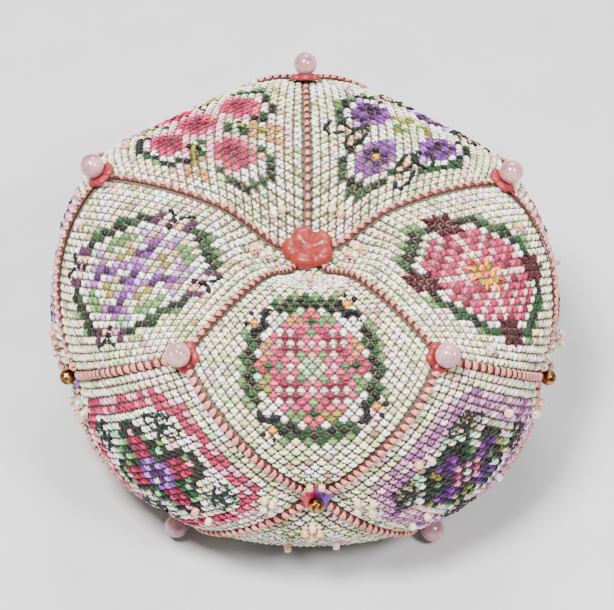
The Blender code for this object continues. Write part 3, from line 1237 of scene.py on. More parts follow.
    def blossom(self, a: float, b: float) -> None:
        """Rose blossom: a pale eye, four deep lobes, pale tips between them and a pink rim."""
        step = self.steps(a, b)
        level = (self.a == a) | (self.b == b)
        self.paint((step == 3, Floss.PINK), ((step == 2) & ~level, Floss.PALE_PINK),
                   ((step == 2) & level, Floss.ROSE), (step == 1, Floss.CRIMSON),
                   (step == 0, Floss.BLUSH))

    def bee(self, side: int) -> None:
        """Bee in a gap of the wreath: a dark crescent of wings, a gold body and dark dots."""
        self.cells(side, (((9, 0), (8, -1)), Floss.NAVY),
                   (((8, 0), (7, 0), (7, 1), (6, 0)), Floss.ICE), (((9, -2),), Floss.GOLD),
                   (((10, -2), (9, -3), (10, -3)), Floss.CREAM))
        self.turned_line(side, ((8.6, 1.1), (9.1, 0.3), (8.9, -0.6), (8.2, -1.2), (7.0, -1.2)),
                         Floss.NAVY)
        self.turned_line(side, ((8.9, 0.8), (8.9, -0.2), (8.4, -0.9), (7.4, -1.3)), Floss.NAVY)
        for out, clock in ((8.5, -2.9), (9.75, -3.0), (10.1, -1.6)):
            self.knot(*self.turned(side, out, clock), Floss.DARK_BROWN)

    def butterfly(self, side: int) -> None:
        """Butterfly in a gap of the wreath: plum wings, pink within, and a dark forked body."""
        self.cells(side, (((8, -2), (9, -2), (8, 2), (9, 2)), Floss.PLUM),
                   (((9, 0), (9, -1), (9, 1), (7, 0)), Floss.ICE),
                   (((8, -1), (8, 0)), Floss.PALE_PINK), (((8, 1),), Floss.PEACH))
        for off in (-0.15, 0.15):
            self.turned_line(side, ((7.1, off), (8.0, off), (8.9, off)), Floss.DARK_BROWN)
        for lean in (-1.0, 1.0):
            self.turned_line(side, ((8.8, 0.0), (9.6, lean * 0.8), (9.9, lean * 1.7)),
                             Floss.DARK_BROWN)

    def star(self, side: int) -> None:
        """Dark star of eight points in a gap of the wreath."""
        middle = tuple((8 + out, clock) for out in (-1, 0, 1) for clock in (-1, 0, 1))
        self.cells(side, (middle, Floss.MAROON))
        for point in range(8):
            heading = math.tau * point / 8
            reach = 2.15 if point % 2 == 0 else 2.3
            self.turned_line(side, (
                (8.0 + math.cos(heading) * 1.1, math.sin(heading) * 1.1),
                (8.0 + math.cos(heading) * reach, math.sin(heading) * reach)), Floss.MAROON)

    def blossom_wreath(self) -> None:
        """Four rose blossoms round a mint middle, with buds, in a wreath with bees."""
        self.wreath(7.7, 12.0, 7.5, 9.8)
        self.ground(self.radius < 5.6, BLUSH=0.5, PEACH=0.22, PALE_PINK=0.28)
        corners = ((Floss.TAN, Floss.SAGE, Floss.CORAL, Floss.CORAL),
                   (Floss.TAN, Floss.SAGE, Floss.ROSE, Floss.ROSE),
                   (Floss.OLIVE, Floss.SAGE, Floss.CORAL, Floss.PINK),
                   (Floss.OLIVE, Floss.TAN, Floss.CORAL, Floss.CORAL))
        for side, (before, after, bud, tip) in enumerate(corners):
            self.cells(side, (((3, -5), (2, -5), (3, -6), (2, -6)), before),
                       (((5, -3), (5, -2), (6, -3), (6, -2)), after),
                       (((3, -4), (4, -3)), Floss.OLIVE), (((4, -4),), Floss.FOREST),
                       (((4, -5), (5, -4)), bud), (((5, -5),), tip), (((3, -3),), Floss.SAGE))
        for a, b in AROUND:
            self.blossom(a, b)
        self.paint((self.steps(0, 0) <= 2, Floss.SAGE), (self.steps(0, 0) <= 1, Floss.MINT))
        for a, b in ((-1, -1), (1, 1), (-1, 1), (1, -1)):
            self.paint((self.steps(a, b) == 0, Floss.PEACH if a == b else Floss.CREAM))
        for side in range(4):
            self.bee(side)

    def big_flower(self) -> None:
        """One big rose-pink flower of four dotted petals, in a wreath with dark stars."""
        self.wreath(8.2, 13.0, 7.7, 9.5)
        gap = self.from_sides()
        inside = self.radius < 6.9
        odd = self.each(1, 2, 1)
        shade = self.clouds(3.4)
        self.paint((inside, Floss.PINK), (inside & odd, Floss.ROSE),
                   (inside & odd & (shade > 0.7), Floss.CRIMSON),
                   (inside & ~odd & (shade < 0.42), Floss.PALE_PINK))
        blush = self.within(2.4, 4.2) & (gap > math.radians(18.0))
        self.paint((blush & (shade > 0.4), Floss.ROSE), (blush & (shade > 0.65), Floss.CRIMSON))
        split = inside & (gap < math.radians(6.0))
        self.paint((split, Floss.PALE_PINK), (split & odd, Floss.CREAM),
                   (self.radius < 1.6, Floss.OLIVE), ((self.radius < 1.6) & odd, Floss.GOLD),
                   (self.radius < 0.6, Floss.CORAL))
        for point in range(8):
            heading = math.tau * (point + 0.3) / 8
            self.line([(math.cos(heading) * 1.1, math.sin(heading) * 1.1),
                       (math.cos(heading) * 2.7, math.sin(heading) * 2.7)], Floss.GOLD)
        for side in range(4):
            self.star(side)

    def rose(self, a: float, b: float) -> None:
        """Round rose: a crimson heart towards the middle, pink petals, a white lip outside."""
        reach = max(1.0, math.hypot(a, b))
        far = self.far(a, b)
        lip = (far >= 2.2) & (far < 3.2) & (self.outward(a, b) > 0.8)
        heart = self.far(a - 0.6 * a / reach, b - 0.6 * b / reach)
        self.paint((far < 3.2, Floss.PALE_PINK), (far < 2.6, Floss.PINK),
                   ((far < 2.6) & self.each(2, 3), Floss.CORAL), (lip, Floss.ICE),
                   (lip & self.each(1, 3), Floss.PALE_PINK), (heart < 2.1, Floss.ROSE),
                   (heart < 1.2, Floss.CRIMSON))

    def leaves_behind(self, flowers: tuple[Place, ...],
                      rows: tuple[tuple[float, float, float, Floss], ...]) -> None:
        """Work leaves behind flowers, away from the middle.

        Args:
            flowers: Middles of the flowers.
            rows: How far round a flower, how far out past its middle and above what share of
                the clouds each floss goes, one over the other.
        """
        shade = self.clouds(2.4)
        for a, b in flowers:
            for reach, past, above, floss in rows:
                here = (self.far(a, b) < reach) & (self.outward(a, b) > past)
                self.paint((here & (shade > above), floss))

    def spray(self, side: int) -> None:
        """Tan spray of paired leaves, on its way out between the roses."""
        self.cells(side, (((6, 0), (8, 0)), Floss.OLIVE))
        for lean in (-1, 1):
            self.cells(side, (((7, lean), (9, lean), (10, lean)), Floss.TAN))
        self.turned_line(side, ((5.0, 0.0), (6.0, 0.2), (7.6, 0.0), (9.2, 0.1), (10.2, 0.0)),
                         Floss.OLIVE)
        for lean in (-0.6, 0.6):
            self.knot(*self.turned(side, 5.3, lean), Floss.DARK_BROWN)

    def roses(self) -> None:
        """Five roses with dark leaves outside them and tan sprays at the sides."""
        for side in range(4):
            self.spray(side)
        around = ((-5, -5), (-5, 3.4), (4.6, -5), (4, 4))
        self.leaves_behind(around, (
            (4.9, 1.6, 0.4, Floss.SAGE), (4.9, 1.6, 0.75, Floss.MINT),
            (4.2, -0.4, -1.0, Floss.FOREST), (4.2, -0.4, 0.45, Floss.DEEP_GREEN)))
        for a, b in ((-0.5, -5), (0, 3), (-5, -0.8), (3, 0)):
            self.paint((self.far(a, b) < 1.2, Floss.FOREST), (self.far(a, b) < 0.7, Floss.MINT))
        for a, b in (*around, (0, 0)):
            self.rose(a, b)

    def pansy(self, a: float, b: float, eye: Floss) -> None:
        """Pansy: white outer petals, a violet face and an eye with a dark edge."""
        far = self.far(a, b)
        self.paint((far < 3.3, Floss.ICE), ((far < 3.0) & self.each(1, 3), Floss.LILAC),
                   (far < 2.5, Floss.VIOLET), ((far < 2.5) & self.each(2, 3), Floss.MAUVE),
                   (far < 1.8, Floss.PURPLE), ((far < 1.8) & self.each(-1, 3), Floss.VIOLET),
                   (self.far(a, b + 1) < 0.6, Floss.NAVY), (far < 0.6, eye))

    def pansies(self) -> None:
        """Pansies backed by dark leaves, with outlined pale leaves and curled tendrils."""
        centres = ((-5, -5), (-5, 3.2), (3.2, -5), (3.6, 3.6))
        self.leaves_behind(centres, (
            (4.9, 1.2, 0.5, Floss.SAGE), (4.9, 1.2, 0.8, Floss.FOREST),
            (4.2, -0.8, -1.0, Floss.FOREST), (4.2, -0.8, 0.5, Floss.DEEP_GREEN)))
        for side in range(4):
            self.cells(side, (((7, 0), (8, 0)), Floss.SAND))
            for lean in (-1, 1):
                self.cells(side, (((7, lean), (8, lean), (8, 2 * lean)), Floss.PEACH))
                a, b = self.turned(side, 5.9, 0.0)
                tip = self.turned(side, 8.8, 2.4 * lean)
                heading = math.atan2(tip[1] - b, tip[0] - a)
                self.loop(a, b, 3.6, 2.0, heading, Floss.DEEP_GREEN)
            self.turned_line(side, ((8.6, 0.0), (10.2, 0.4), (11.0, 1.4), (10.6, 2.4),
                                    (9.8, 2.2)), Floss.NAVY)
        for (a, b), eye in zip(centres, (Floss.GOLD, Floss.PLUM, Floss.PLUM, Floss.GOLD)):
            self.pansy(a, b, eye)
        self.ground(self.radius < 3.0, OLIVE=0.22, SAGE=0.26, BLUSH=0.18, PALE_GREEN=0.34)

    def sprig(self, a: float, b: float) -> None:
        """Sprig of lilac: a dark heart, white dots beside it and lilac florets round it."""
        step = self.steps(a, b)
        self.paint((self.far(a, b) < 2.1, Floss.LILAC),
                   ((self.far(a, b) < 2.3) & self.each(2, 3), Floss.MAUVE))
        heart = self.a == a if a == 0 else self.b == b
        beside = self.b == b if a == 0 else self.a == a
        self.paint(((step == 1) & heart, Floss.VIOLET), ((step == 2) & beside, Floss.BLUSH),
                   ((step == 1) & beside, Floss.ICE),
                   ((step == 2) & ((self.a - a) * (self.b - b) > 0) & (self.a > a), Floss.PURPLE),
                   (step == 0, Floss.PURPLE))

    def lilac_wreath(self) -> None:
        """Lilac sprigs and olive leaves in a wreath with butterflies."""
        self.wreath(8.2, 14.0, 7.8, 9.2)
        self.ground(self.radius < 6.4, ICE=0.36, PALE_GREEN=0.2, MINT=0.16, LILAC=0.16, SAND=0.12)
        for a, b in ((-2.6, -2.6), (2.6, 2.6), (-2.6, 2.6), (2.6, -2.6)):
            self.paint((self.far(a, b) < 1.3, Floss.OLIVE),
                       ((self.far(a, b) < 1.9) & self.each(1, 2), Floss.PALE_GREEN),
                       (self.far(a * 1.6, b * 1.6) < 0.9, Floss.SAGE))
        for a, b in (*AROUND, (0, 0)):
            self.sprig(a, b)
        for side in range(4):
            self.cells(side, (((6, -2), (6, 2)), Floss.LILAC), (((5, -3), (5, 3)), Floss.SAGE))
            self.butterfly(side)

    def trefoil(self, side: int, inside: Floss) -> None:
        """Three pale leaves outlined in dark backstitch on a short stalk, across a corner.

        Args:
            side: Which corner it lies across.
            inside: Floss of the leaves.
        """
        leaf_cells = tuple((out, -clock) for out in (5, 6, 7) for clock in (5, 6, 7)
                           if out + clock < 14)
        self.cells(side, (leaf_cells, inside))
        a, b = self.turned(side, 5.5, -5.5)
        away = math.atan2(b, a)
        for lean, long in ((-1.25, 2.7), (0.0, 2.3), (1.25, 2.7)):
            self.loop(a, b, long, 1.7, away + lean, Floss.DEEP_GREEN)
        self.line([self.turned(side, 4.2, -4.2), (a, b), self.turned(side, 6.2, -6.2)],
                  Floss.DEEP_GREEN)
        for out in (5.4, 5.9):
            self.knot(*self.turned(side, out, -out), Floss.DEEP_GREEN)

    def pink_border(self) -> None:
        """Four red flowers round a violet middle, in a narrow rose border with trefoils."""
        mixed = self.clouds(2.2)
        self.ground(self.octagon(8, 14), ICE=0.34, MINT=0.2, BLUSH=0.26, CREAM=0.2)
        border = self.octagon(10, 17) & ~self.octagon(8, 14)
        self.paint((border, Floss.PINK), (border & (mixed > 0.5), Floss.ROSE),
                   (border & (mixed < 0.12), Floss.PALE_PINK),
                   (border & ~self.octagon(9, 16) & (mixed < 0.6), Floss.PALE_PINK))
        leaves = self.within(2.0, 5.6) & (np.abs(np.abs(self.a) - np.abs(self.b)) <= 2)
        self.paint((leaves, Floss.FOREST), (leaves & (mixed > 0.5), Floss.DEEP_GREEN),
                   ((np.abs(self.a) == np.abs(self.b)) & (self.steps(0, 0) == 6), Floss.MINT))
        for a, b in AROUND:
            flower = self.far(a, b) < 1.8
            self.paint((self.far(a * 1.25, b * 1.25) < 2.3, Floss.DEEP_GREEN),
                       (flower, Floss.CRIMSON), (flower & self.each(1, 2, 1), Floss.ROSE),
                       (self.steps(a * 1.5, b * 1.5) == 0, Floss.PALE_PINK))
        leafy = self.within(2.0, 6.6) & (mixed > 0.45) & self.each(2, 4)
        self.paint((leafy & (np.abs(self.a * self.b) > 1), Floss.SAGE))
        for side in range(4):
            self.trefoil(side, Floss.ICE)
        self.paint((self.radius < 2.5, Floss.VIOLET),
                   ((self.radius < 2.5) & self.each(1, 2), Floss.LILAC),
                   (self.steps(0, 0) <= 1, Floss.PURPLE), (self.steps(1, 1) == 0, Floss.ICE))

    def lilac_border(self) -> None:
        """Purple flowers and dark leaves round a pink middle, in a broad soft lilac border."""
        mixed = self.clouds(2.2)
        self.ground(self.octagon(8, 14), ICE=0.26, SAND=0.2, BLUSH=0.3, MINT=0.24)
        border = self.octagon(10, 17) & ~self.octagon(7, 13)
        self.paint((border, Floss.ORCHID), (border & (mixed > 0.7), Floss.MAUVE),
                   (border & (mixed < 0.15), Floss.BLUSH))
        inner = self.within(2.0, 6.4)
        self.paint((inner & (mixed > 0.3), Floss.DEEP_GREEN),
                   (inner & (mixed > 0.5) & self.each(2, 3), Floss.FOREST),
                   (inner & (mixed > 0.7) & self.each(2, 4, 1), Floss.SAGE),
                   (inner & (mixed < 0.1), Floss.OLIVE))
        for a, b in AROUND:
            flower = self.far(a, b) < 1.8
            self.paint((flower, Floss.PURPLE), (flower & self.each(2, 3), Floss.VIOLET))
        for side in range(4):
            self.trefoil(side, Floss.SAND)
        middle = self.radius < 2.5
        self.paint((middle, Floss.PALE_PINK), (middle & self.each(1, 4), Floss.PINK),
                   (middle & self.each(1, 2, 1), Floss.PLUM), (self.steps(0, 0) == 0, Floss.ICE))

    def plain(self) -> None:
        """Small blossom in a ring of green, for a square of the underside."""
        ring = (self.radius >= 4.6) & (self.radius < 5.9)
        self.paint((ring, Floss.SAGE), (ring & self.each(1, 3), Floss.FOREST))
        self.blossom(0, 0)


# ---- The stitching ----


@dataclass(frozen=True)
class StrandProfile:
    """How a strand lies along its length, from one hole of the linen to the next.

    Attributes:
        along: Share of the way.
        lift: Height of its middle over the cloth, in millimetres.
        half_width: Half its width, in millimetres.
        half_height: Half its thickness, in millimetres.
    """

    along: tuple[float, ...]
    lift: tuple[float, ...]
    half_width: tuple[float, ...]
    half_height: tuple[float, ...]


UNDER_PROFILE = StrandProfile((0.11, 0.26, 0.74, 0.89), (-0.18, 0.14, 0.14, -0.18),
                              (0.25, 0.46, 0.46, 0.25), (0.1, 0.17, 0.17, 0.1))
OVER_PROFILE = StrandProfile((0.11, 0.26, 0.5, 0.74, 0.89), (-0.18, 0.3, 0.52, 0.3, -0.18),
                             (0.25, 0.43, 0.45, 0.43, 0.25), (0.1, 0.2, 0.24, 0.2, 0.1))
BACK_PROFILE = StrandProfile((-0.03, 0.2, 0.5, 0.8, 1.03), (0.1, 0.62, 0.72, 0.62, 0.1),
                             (0.28, 0.46, 0.48, 0.46, 0.28), (0.12, 0.2, 0.24, 0.2, 0.12))


@dataclass
class Embroidery:
    """Cross stitches over the whole of each square, and backstitch on some."""

    cloth: StuffedCloth
    seed: int = 41
    wander: float = 0.05
    bulk_spread: float = 0.15
    shade_spread: float = 0.22
    pressed: float = 0.45
    # Under legs are darkened by this share as painted shade beneath the top legs.
    under_shade: float = 0.92
    looks: dict[str, tuple[Callable[[Chart], None], ...]] = field(default_factory=lambda: {
        "upper": (Chart.blossom_wreath, Chart.big_flower, Chart.pansies, Chart.roses,
                  Chart.lilac_wreath),
        "middle": (Chart.lilac_border, Chart.pink_border, Chart.pink_border, Chart.lilac_border,
                   Chart.pink_border),
        "lower": (Chart.plain,) * SIDES,
    })

    def strands(self, square: int, start: Array, end: Array, profile: StrandProfile,
                colour: Array, section: Section, random: np.random.Generator) -> Strands:
        """Lay strands from hole to hole over a square.

        Args:
            square: Number of the square.
            start: Start of each strand, in stitches.
            end: End of each strand, in stitches.
            profile: How a strand lies.
            colour: Linear colour of each strand.
            section: Cross-section of a strand.
            random: Source of the hand's unevenness.

        Returns:
            The strands.
        """
        count = len(start)
        share = np.array(profile.along)[None, :, None]
        ends = random.normal(0.0, self.wander, (2, count, 1, 2))
        place = (start[:, None] + ends[0]) * (1 - share) + (end[:, None] + ends[1]) * share
        points, normals = self.cloth.lay(square, place[..., 0], place[..., 1])
        bulk = random.normal(1.0, self.bulk_spread, (count, 1))
        lift, half_width, half_height = (
            np.array(sizes) * MM for sizes in (profile.lift, profile.half_width,
                                               profile.half_height))
        lift = lift * bulk * self.cloth.shape.free_share(points, self.pressed)
        tint = colour * random.normal(1.0, self.shade_spread, (count, 1))
        return Strands(points + normals * lift[..., None], normals, half_width * bulk,
                       half_height * np.ones((count, 1)), np.clip(tint, 0.0, 1.0), section)

    def build(self, finishes: Finishes) -> list[Object]:
        """Stitch every square.

        Args:
            finishes: Materials of the ball.

        Returns:
            One piece a square, and one for all the backstitch.
        """
        pieces, outlines = [], []
        hole = np.mgrid[0:STITCHES, 0:STITCHES].reshape(2, -1).T.astype(float)
        for number, square in enumerate(self.cloth.squares):
            random = np.random.default_rng(self.seed + number)
            chart = Chart(self.seed * 100 + number)
            self.looks[square.row][square.index](chart)
            colour = chart.colours.reshape(-1, 3)
            # The under legs are painted darker than the top legs, as painted shade.
            legs = [self.strands(number, hole, hole + (1, 1), UNDER_PROFILE,
                                 colour * self.under_shade, SLIM_SECTION, random),
                    self.strands(number, hole + (1, 0), hole + (0, 1), OVER_PROFILE, colour,
                                 ROUND_SECTION, random)]
            name = f"cross_stitches_{square.row}_{square.index + 1}"
            pieces.append(new_object(name, strand_mesh(name, legs), finishes.stitches))
            if chart.lines:
                ends = np.array([line[:4] for line in chart.lines]) + STITCHES / 2
                shade = np.array([line[4].linear() for line in chart.lines])
                outlines.append(self.strands(number, ends[:, :2], ends[:, 2:], BACK_PROFILE,
                                             shade, SLIM_SECTION, random))
            LOG.info("stitched %s: %d stitches", name, len(colour))
        pieces.append(new_object("backstitches", strand_mesh("backstitches", outlines),
                                 finishes.stitches))
        LOG.info("outlined with %d backstitches", sum(len(o.path) for o in outlines))
        return pieces


class SeamKind(Enum):
    """Seams of the ball, by the rings that they join."""

    TOP = "top_upper"
    UPPER = "upper_equator"
    LOWER = "equator_lower"
    UNDER = "lower_bottom"


@dataclass(frozen=True)
class Whip:
    """How the floss whips over one kind of seam: how far to each side, how full and its rose."""

    reach: float
    fullness: float
    rose: Floss


@dataclass
class WhippedSeams:
    """Rose floss whipped over every seam: one whip a stitch across a sunken core, whose near-black
    rose is painted shade between the whips.
    """

    cloth: StuffedCloth
    seed: int = 7
    core_lift: float = 0.72 * MM
    core_half_height: float = 0.3 * MM
    core_share: float = 0.85
    core_stop: float = 0.6
    whip_lift: float = 0.95 * MM
    whip_rise: float = 0.7 * MM
    whip_half_widths: tuple[float, ...] = (
        0.3 * MM, 0.52 * MM, 0.82 * MM, 0.9 * MM, 0.82 * MM, 0.52 * MM, 0.3 * MM)
    whip_half_height: float = 0.18 * MM
    slant: float = 0.4 * MM
    turn_deg: float = 102.0
    stop: float = 0.4 * MM
    sway: float = 0.08 * MM
    shade_spread: float = 0.08
    size_spread: float = 0.06
    whips: dict[SeamKind, Whip] = field(default_factory=lambda: {
        SeamKind.TOP: Whip(0.5 * MM, 0.84, Floss.SEAM_DEEP),
        SeamKind.UPPER: Whip(0.9 * MM, 0.86, Floss.SEAM_ROSE),
        SeamKind.LOWER: Whip(0.9 * MM, 0.86, Floss.SEAM_ROSE),
        SeamKind.UNDER: Whip(1.0 * MM, 0.86, Floss.SEAM_ROSE)})

    def lines(self) -> list[tuple[SeamKind, Array, float, float]]:
        """Each seam once: its kind, its points and the flowers' radii at its ends."""
        radii = {**self.cloth.shape.seat_radii, "bottom": 0.0}
        found = []
        for square, grid in zip(self.cloth.squares, self.cloth.grid):
            edges = {
                "upper": ((SeamKind.TOP, grid[0]), (SeamKind.UPPER, grid[-1]),
                          (SeamKind.UPPER, grid[:, -1])),
                "middle": ((SeamKind.LOWER, grid[-1]), (SeamKind.LOWER, grid[:, -1])),
                "lower": ((SeamKind.UNDER, grid[:, -1]),),
            }[square.row]
            for kind, points in edges:
                found.append((kind, points, *(radii[ring] for ring in kind.value.split("_"))))
        return found

    def along_seam(self, points: Array, start: float, end: float,
                   count: int) -> tuple[Array, Array, Array, Array]:
        """Find evenly spaced places along a seam.

        Args:
            points: The seam's points.
            start: Length left out at its start.
            end: Length left out at its end.
            count: How many places.

        Returns:
            The places and the directions along, away from the ball and across there.
        """
        steps = np.linalg.norm(np.diff(points, axis=0), axis=1)
        length = np.concatenate(((0.0,), np.cumsum(steps)))
        here = np.linspace(start, length[-1] - end, count)
        place = np.stack([np.interp(here, length, points[:, axis]) for axis in range(3)], -1)
        along = unit(np.gradient(place, axis=0))
        shape = self.cloth.shape
        away = place - shape.at(0.0, 0.0, 0.0)
        away = unit(away - along * (away * along).sum(-1, keepdims=True))
        return place, along, away, np.cross(along, away)

    def build(self, finishes: Finishes) -> list[Object]:
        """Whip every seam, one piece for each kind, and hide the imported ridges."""
        random = np.random.default_rng(self.seed)
        steps = len(self.whip_half_widths)
        turn = np.radians(np.linspace(-self.turn_deg, self.turn_deg, steps))
        bundles: dict[SeamKind, list[Strands]] = {kind: [] for kind in SeamKind}
        for kind, points, first, last in self.lines():
            whip = self.whips[kind]
            length = np.linalg.norm(np.diff(points, axis=0), axis=1).sum()
            start, end = first + self.stop, last + self.stop
            count = int((length - start - end) / (length / STITCHES)) + 1
            place, along, away, across = self.along_seam(points, start, end, count)
            sway = random.normal(0.0, self.sway, (count, 1, 1))
            along, away, across = along[:, None], away[:, None], across[:, None]
            path = (place[:, None] + away * self.whip_lift
                    + across * (whip.reach * np.sin(turn))[:, None]
                    + away * (self.whip_rise * np.cos(turn))[:, None]
                    + along * (self.slant * turn / turn.max())[:, None] + along * sway)
            up = unit(across * np.sin(turn)[:, None] + away * np.cos(turn)[:, None])
            colour = whip.rose.linear() * random.normal(1.0, self.shade_spread, (count, 1))
            size = random.normal(whip.fullness, self.size_spread, (count, 1))
            bundles[kind].append(Strands(
                path, up, np.array(self.whip_half_widths) * size,
                self.whip_half_height * np.ones((count, steps)),
                np.clip(colour, 0.0, 1.0), ROUND_SECTION))
            core, _, core_up, _ = self.along_seam(points, start * self.core_stop,
                                                  end * self.core_stop, STITCHES)
            even = np.ones((1, STITCHES))
            # The core's near-black rose is painted shade, seen in the gaps between the whips.
            bundles[kind].append(Strands(
                (core + core_up * self.core_lift)[None], core_up[None],
                whip.reach * self.core_share * even, self.core_half_height * even,
                Floss.SEAM_SHADE.linear()[None], ROUND_SECTION))
        pieces = []
        for kind, strands in bundles.items():
            name = f"whipped_seams_{kind.value}"
            piece = new_object(name, strand_mesh(name, strands), finishes.whipping)
            nodes = [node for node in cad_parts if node.startswith(f"seam_{kind.value}_")]
            if nodes:
                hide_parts(*nodes)
            pieces.append(piece)
            LOG.info("whipped %s", name)
        return pieces


# ---- What is sewn on ----


@dataclass
class SeedBeads:
    """Small pale beads in pairs and fours on the squares, joined in one piece.

    Attributes:
        own: Where beads sit on a square that has its own, in stitches from its middle towards
            its left and its right corner.
        common: The same for the other squares of each row.
        tints: Screen colours of the glass.
    """

    cloth: StuffedCloth
    diameter: float = 2.1 * MM
    height: float = 1.7 * MM
    hole: float = 0.4 * MM
    askew: float = 0.3
    sink: float = 0.2 * MM
    least_height: float = 1.6 * MM
    seed: int = 5
    tints: tuple[Tone, ...] = (
        (244, 220, 168), (240, 184, 148), (244, 204, 208), (246, 236, 220))
    common: dict[str, tuple[Place, ...]] = field(default_factory=lambda: {
        "upper": ((-9.8, -9.8), (-8.7, -9.8), (-9.8, -8.7), (-8.7, -8.7), (11.9, 10.9),
                  (10.9, 11.9), (10.9, -5.4), (-5.4, 8.7)),
        "middle": ((-9.8, 8.7), (-9.8, 9.8), (-8.7, 9.8), (-8.7, 10.9), (8.7, -9.8),
                   (8.7, -8.7), (9.8, -8.7), (9.8, -7.6), (-1.1, 8.7), (0.0, -7.6)),
        "lower": ((-9.8, -9.8), (-8.7, -9.8), (-9.8, -8.7), (-8.7, -8.7), (-2.2, -5.4),
                  (-8.7, -4.3)),
    })
    own: dict[tuple[str, int], tuple[Place, ...]] = field(default_factory=lambda: {
        ("upper", 0): ((-7.6, -9.8), (-8.7, -8.7), (11.9, 10.9), (10.9, 11.9)),
        ("upper", 2): ((-8.7, -9.8), (-9.8, -8.7), (-7.6, 8.7), (10.9, -5.4)),
        ("upper", 3): ((-8.7, -9.8), (-9.8, -8.7), (-5.4, 8.7), (10.9, -5.4)),
        ("middle", 0): ((9.8, -9.8), (8.7, -8.7), (10.9, -8.7), (9.8, -7.6), (9.8, 0.0),
                        (7.6, 0.0), (0.0, -7.6), (1.1, -8.7), (-8.7, 0.0), (0.0, 7.6),
                        (-9.8, 9.8), (-8.7, 8.7)),
        ("middle", 4): ((-9.8, 8.7), (-9.8, 9.8), (-8.7, 9.8), (-8.7, 10.9), (10.9, -7.6),
                        (-1.1, 6.5), (-1.1, 8.7), (8.7, -8.7), (9.8, -9.8)),
    })

    def model(self) -> Mesh:
        """Model one bead lying on its side."""
        tube = (self.diameter - self.hole) / 4
        bead = blank(bpy.ops.mesh.primitive_torus_add, major_segments=12, minor_segments=6,
                     major_radius=self.diameter / 2 - tube, minor_radius=tube,
                     rotation=(0.0, math.pi / 2, 0.0))
        bpy.ops.object.transform_apply(location=False, rotation=True, scale=False)
        bpy.ops.object.mode_set(mode="EDIT")
        bpy.ops.mesh.select_all(action="SELECT")
        bpy.ops.transform.resize(value=(self.height / (2 * tube), 1.0, 1.0),
                                 center_override=(0.0, 0.0, 0.0))
        bpy.ops.object.mode_set(mode="OBJECT")
        bpy.ops.object.shade_smooth()
        return take_mesh(bead)

    def build(self, finishes: Finishes) -> Object:
        """Sew the beads on, clear of the floor."""
        bead = self.model()
        random = np.random.default_rng(self.seed)
        points = points_of(bead)
        sizes = np.array([len(face.vertices) for face in bead.polygons])
        loops = np.array([index for face in bead.polygons for index in face.vertices])
        made = []
        for number, square in enumerate(self.cloth.squares):
            places = np.array(self.own.get((square.row, square.index), self.common[square.row]))
            spots, normals = self.cloth.lay(number, *(places + STITCHES / 2).T)
            lift = self.diameter / 2 + max(OVER_PROFILE.lift) * MM - self.sink
            for spot, normal in zip(spots, normals):
                place = spot + normal * lift
                if place[2] < self.least_height + self.diameter / 2:
                    continue
                level = unit(np.cross((0.0, 0.0, 1.0), normal))
                turn = Matrix((level, np.cross(normal, level), normal)).transposed()
                spin = Matrix.Rotation(random.normal(0.0, self.askew), 3, "Z")
                made.append(place + points @ np.array(turn @ spin).T)
        count = len(made)
        offsets = (np.arange(count) * len(points))[:, None]
        tints = to_linear(np.array(self.tints)[random.integers(0, len(self.tints), count)])
        mesh = fill_mesh("seed_beads", np.concatenate(made), (loops[None] + offsets).ravel(),
                         np.tile(sizes, count), np.zeros((len(loops) * count, 2)), "tint",
                         np.repeat(tints, len(points), axis=0))
        piece = new_object("seed_beads", mesh, finishes.seed)
        LOG.info("sewed on %d seed beads", count)
        return piece


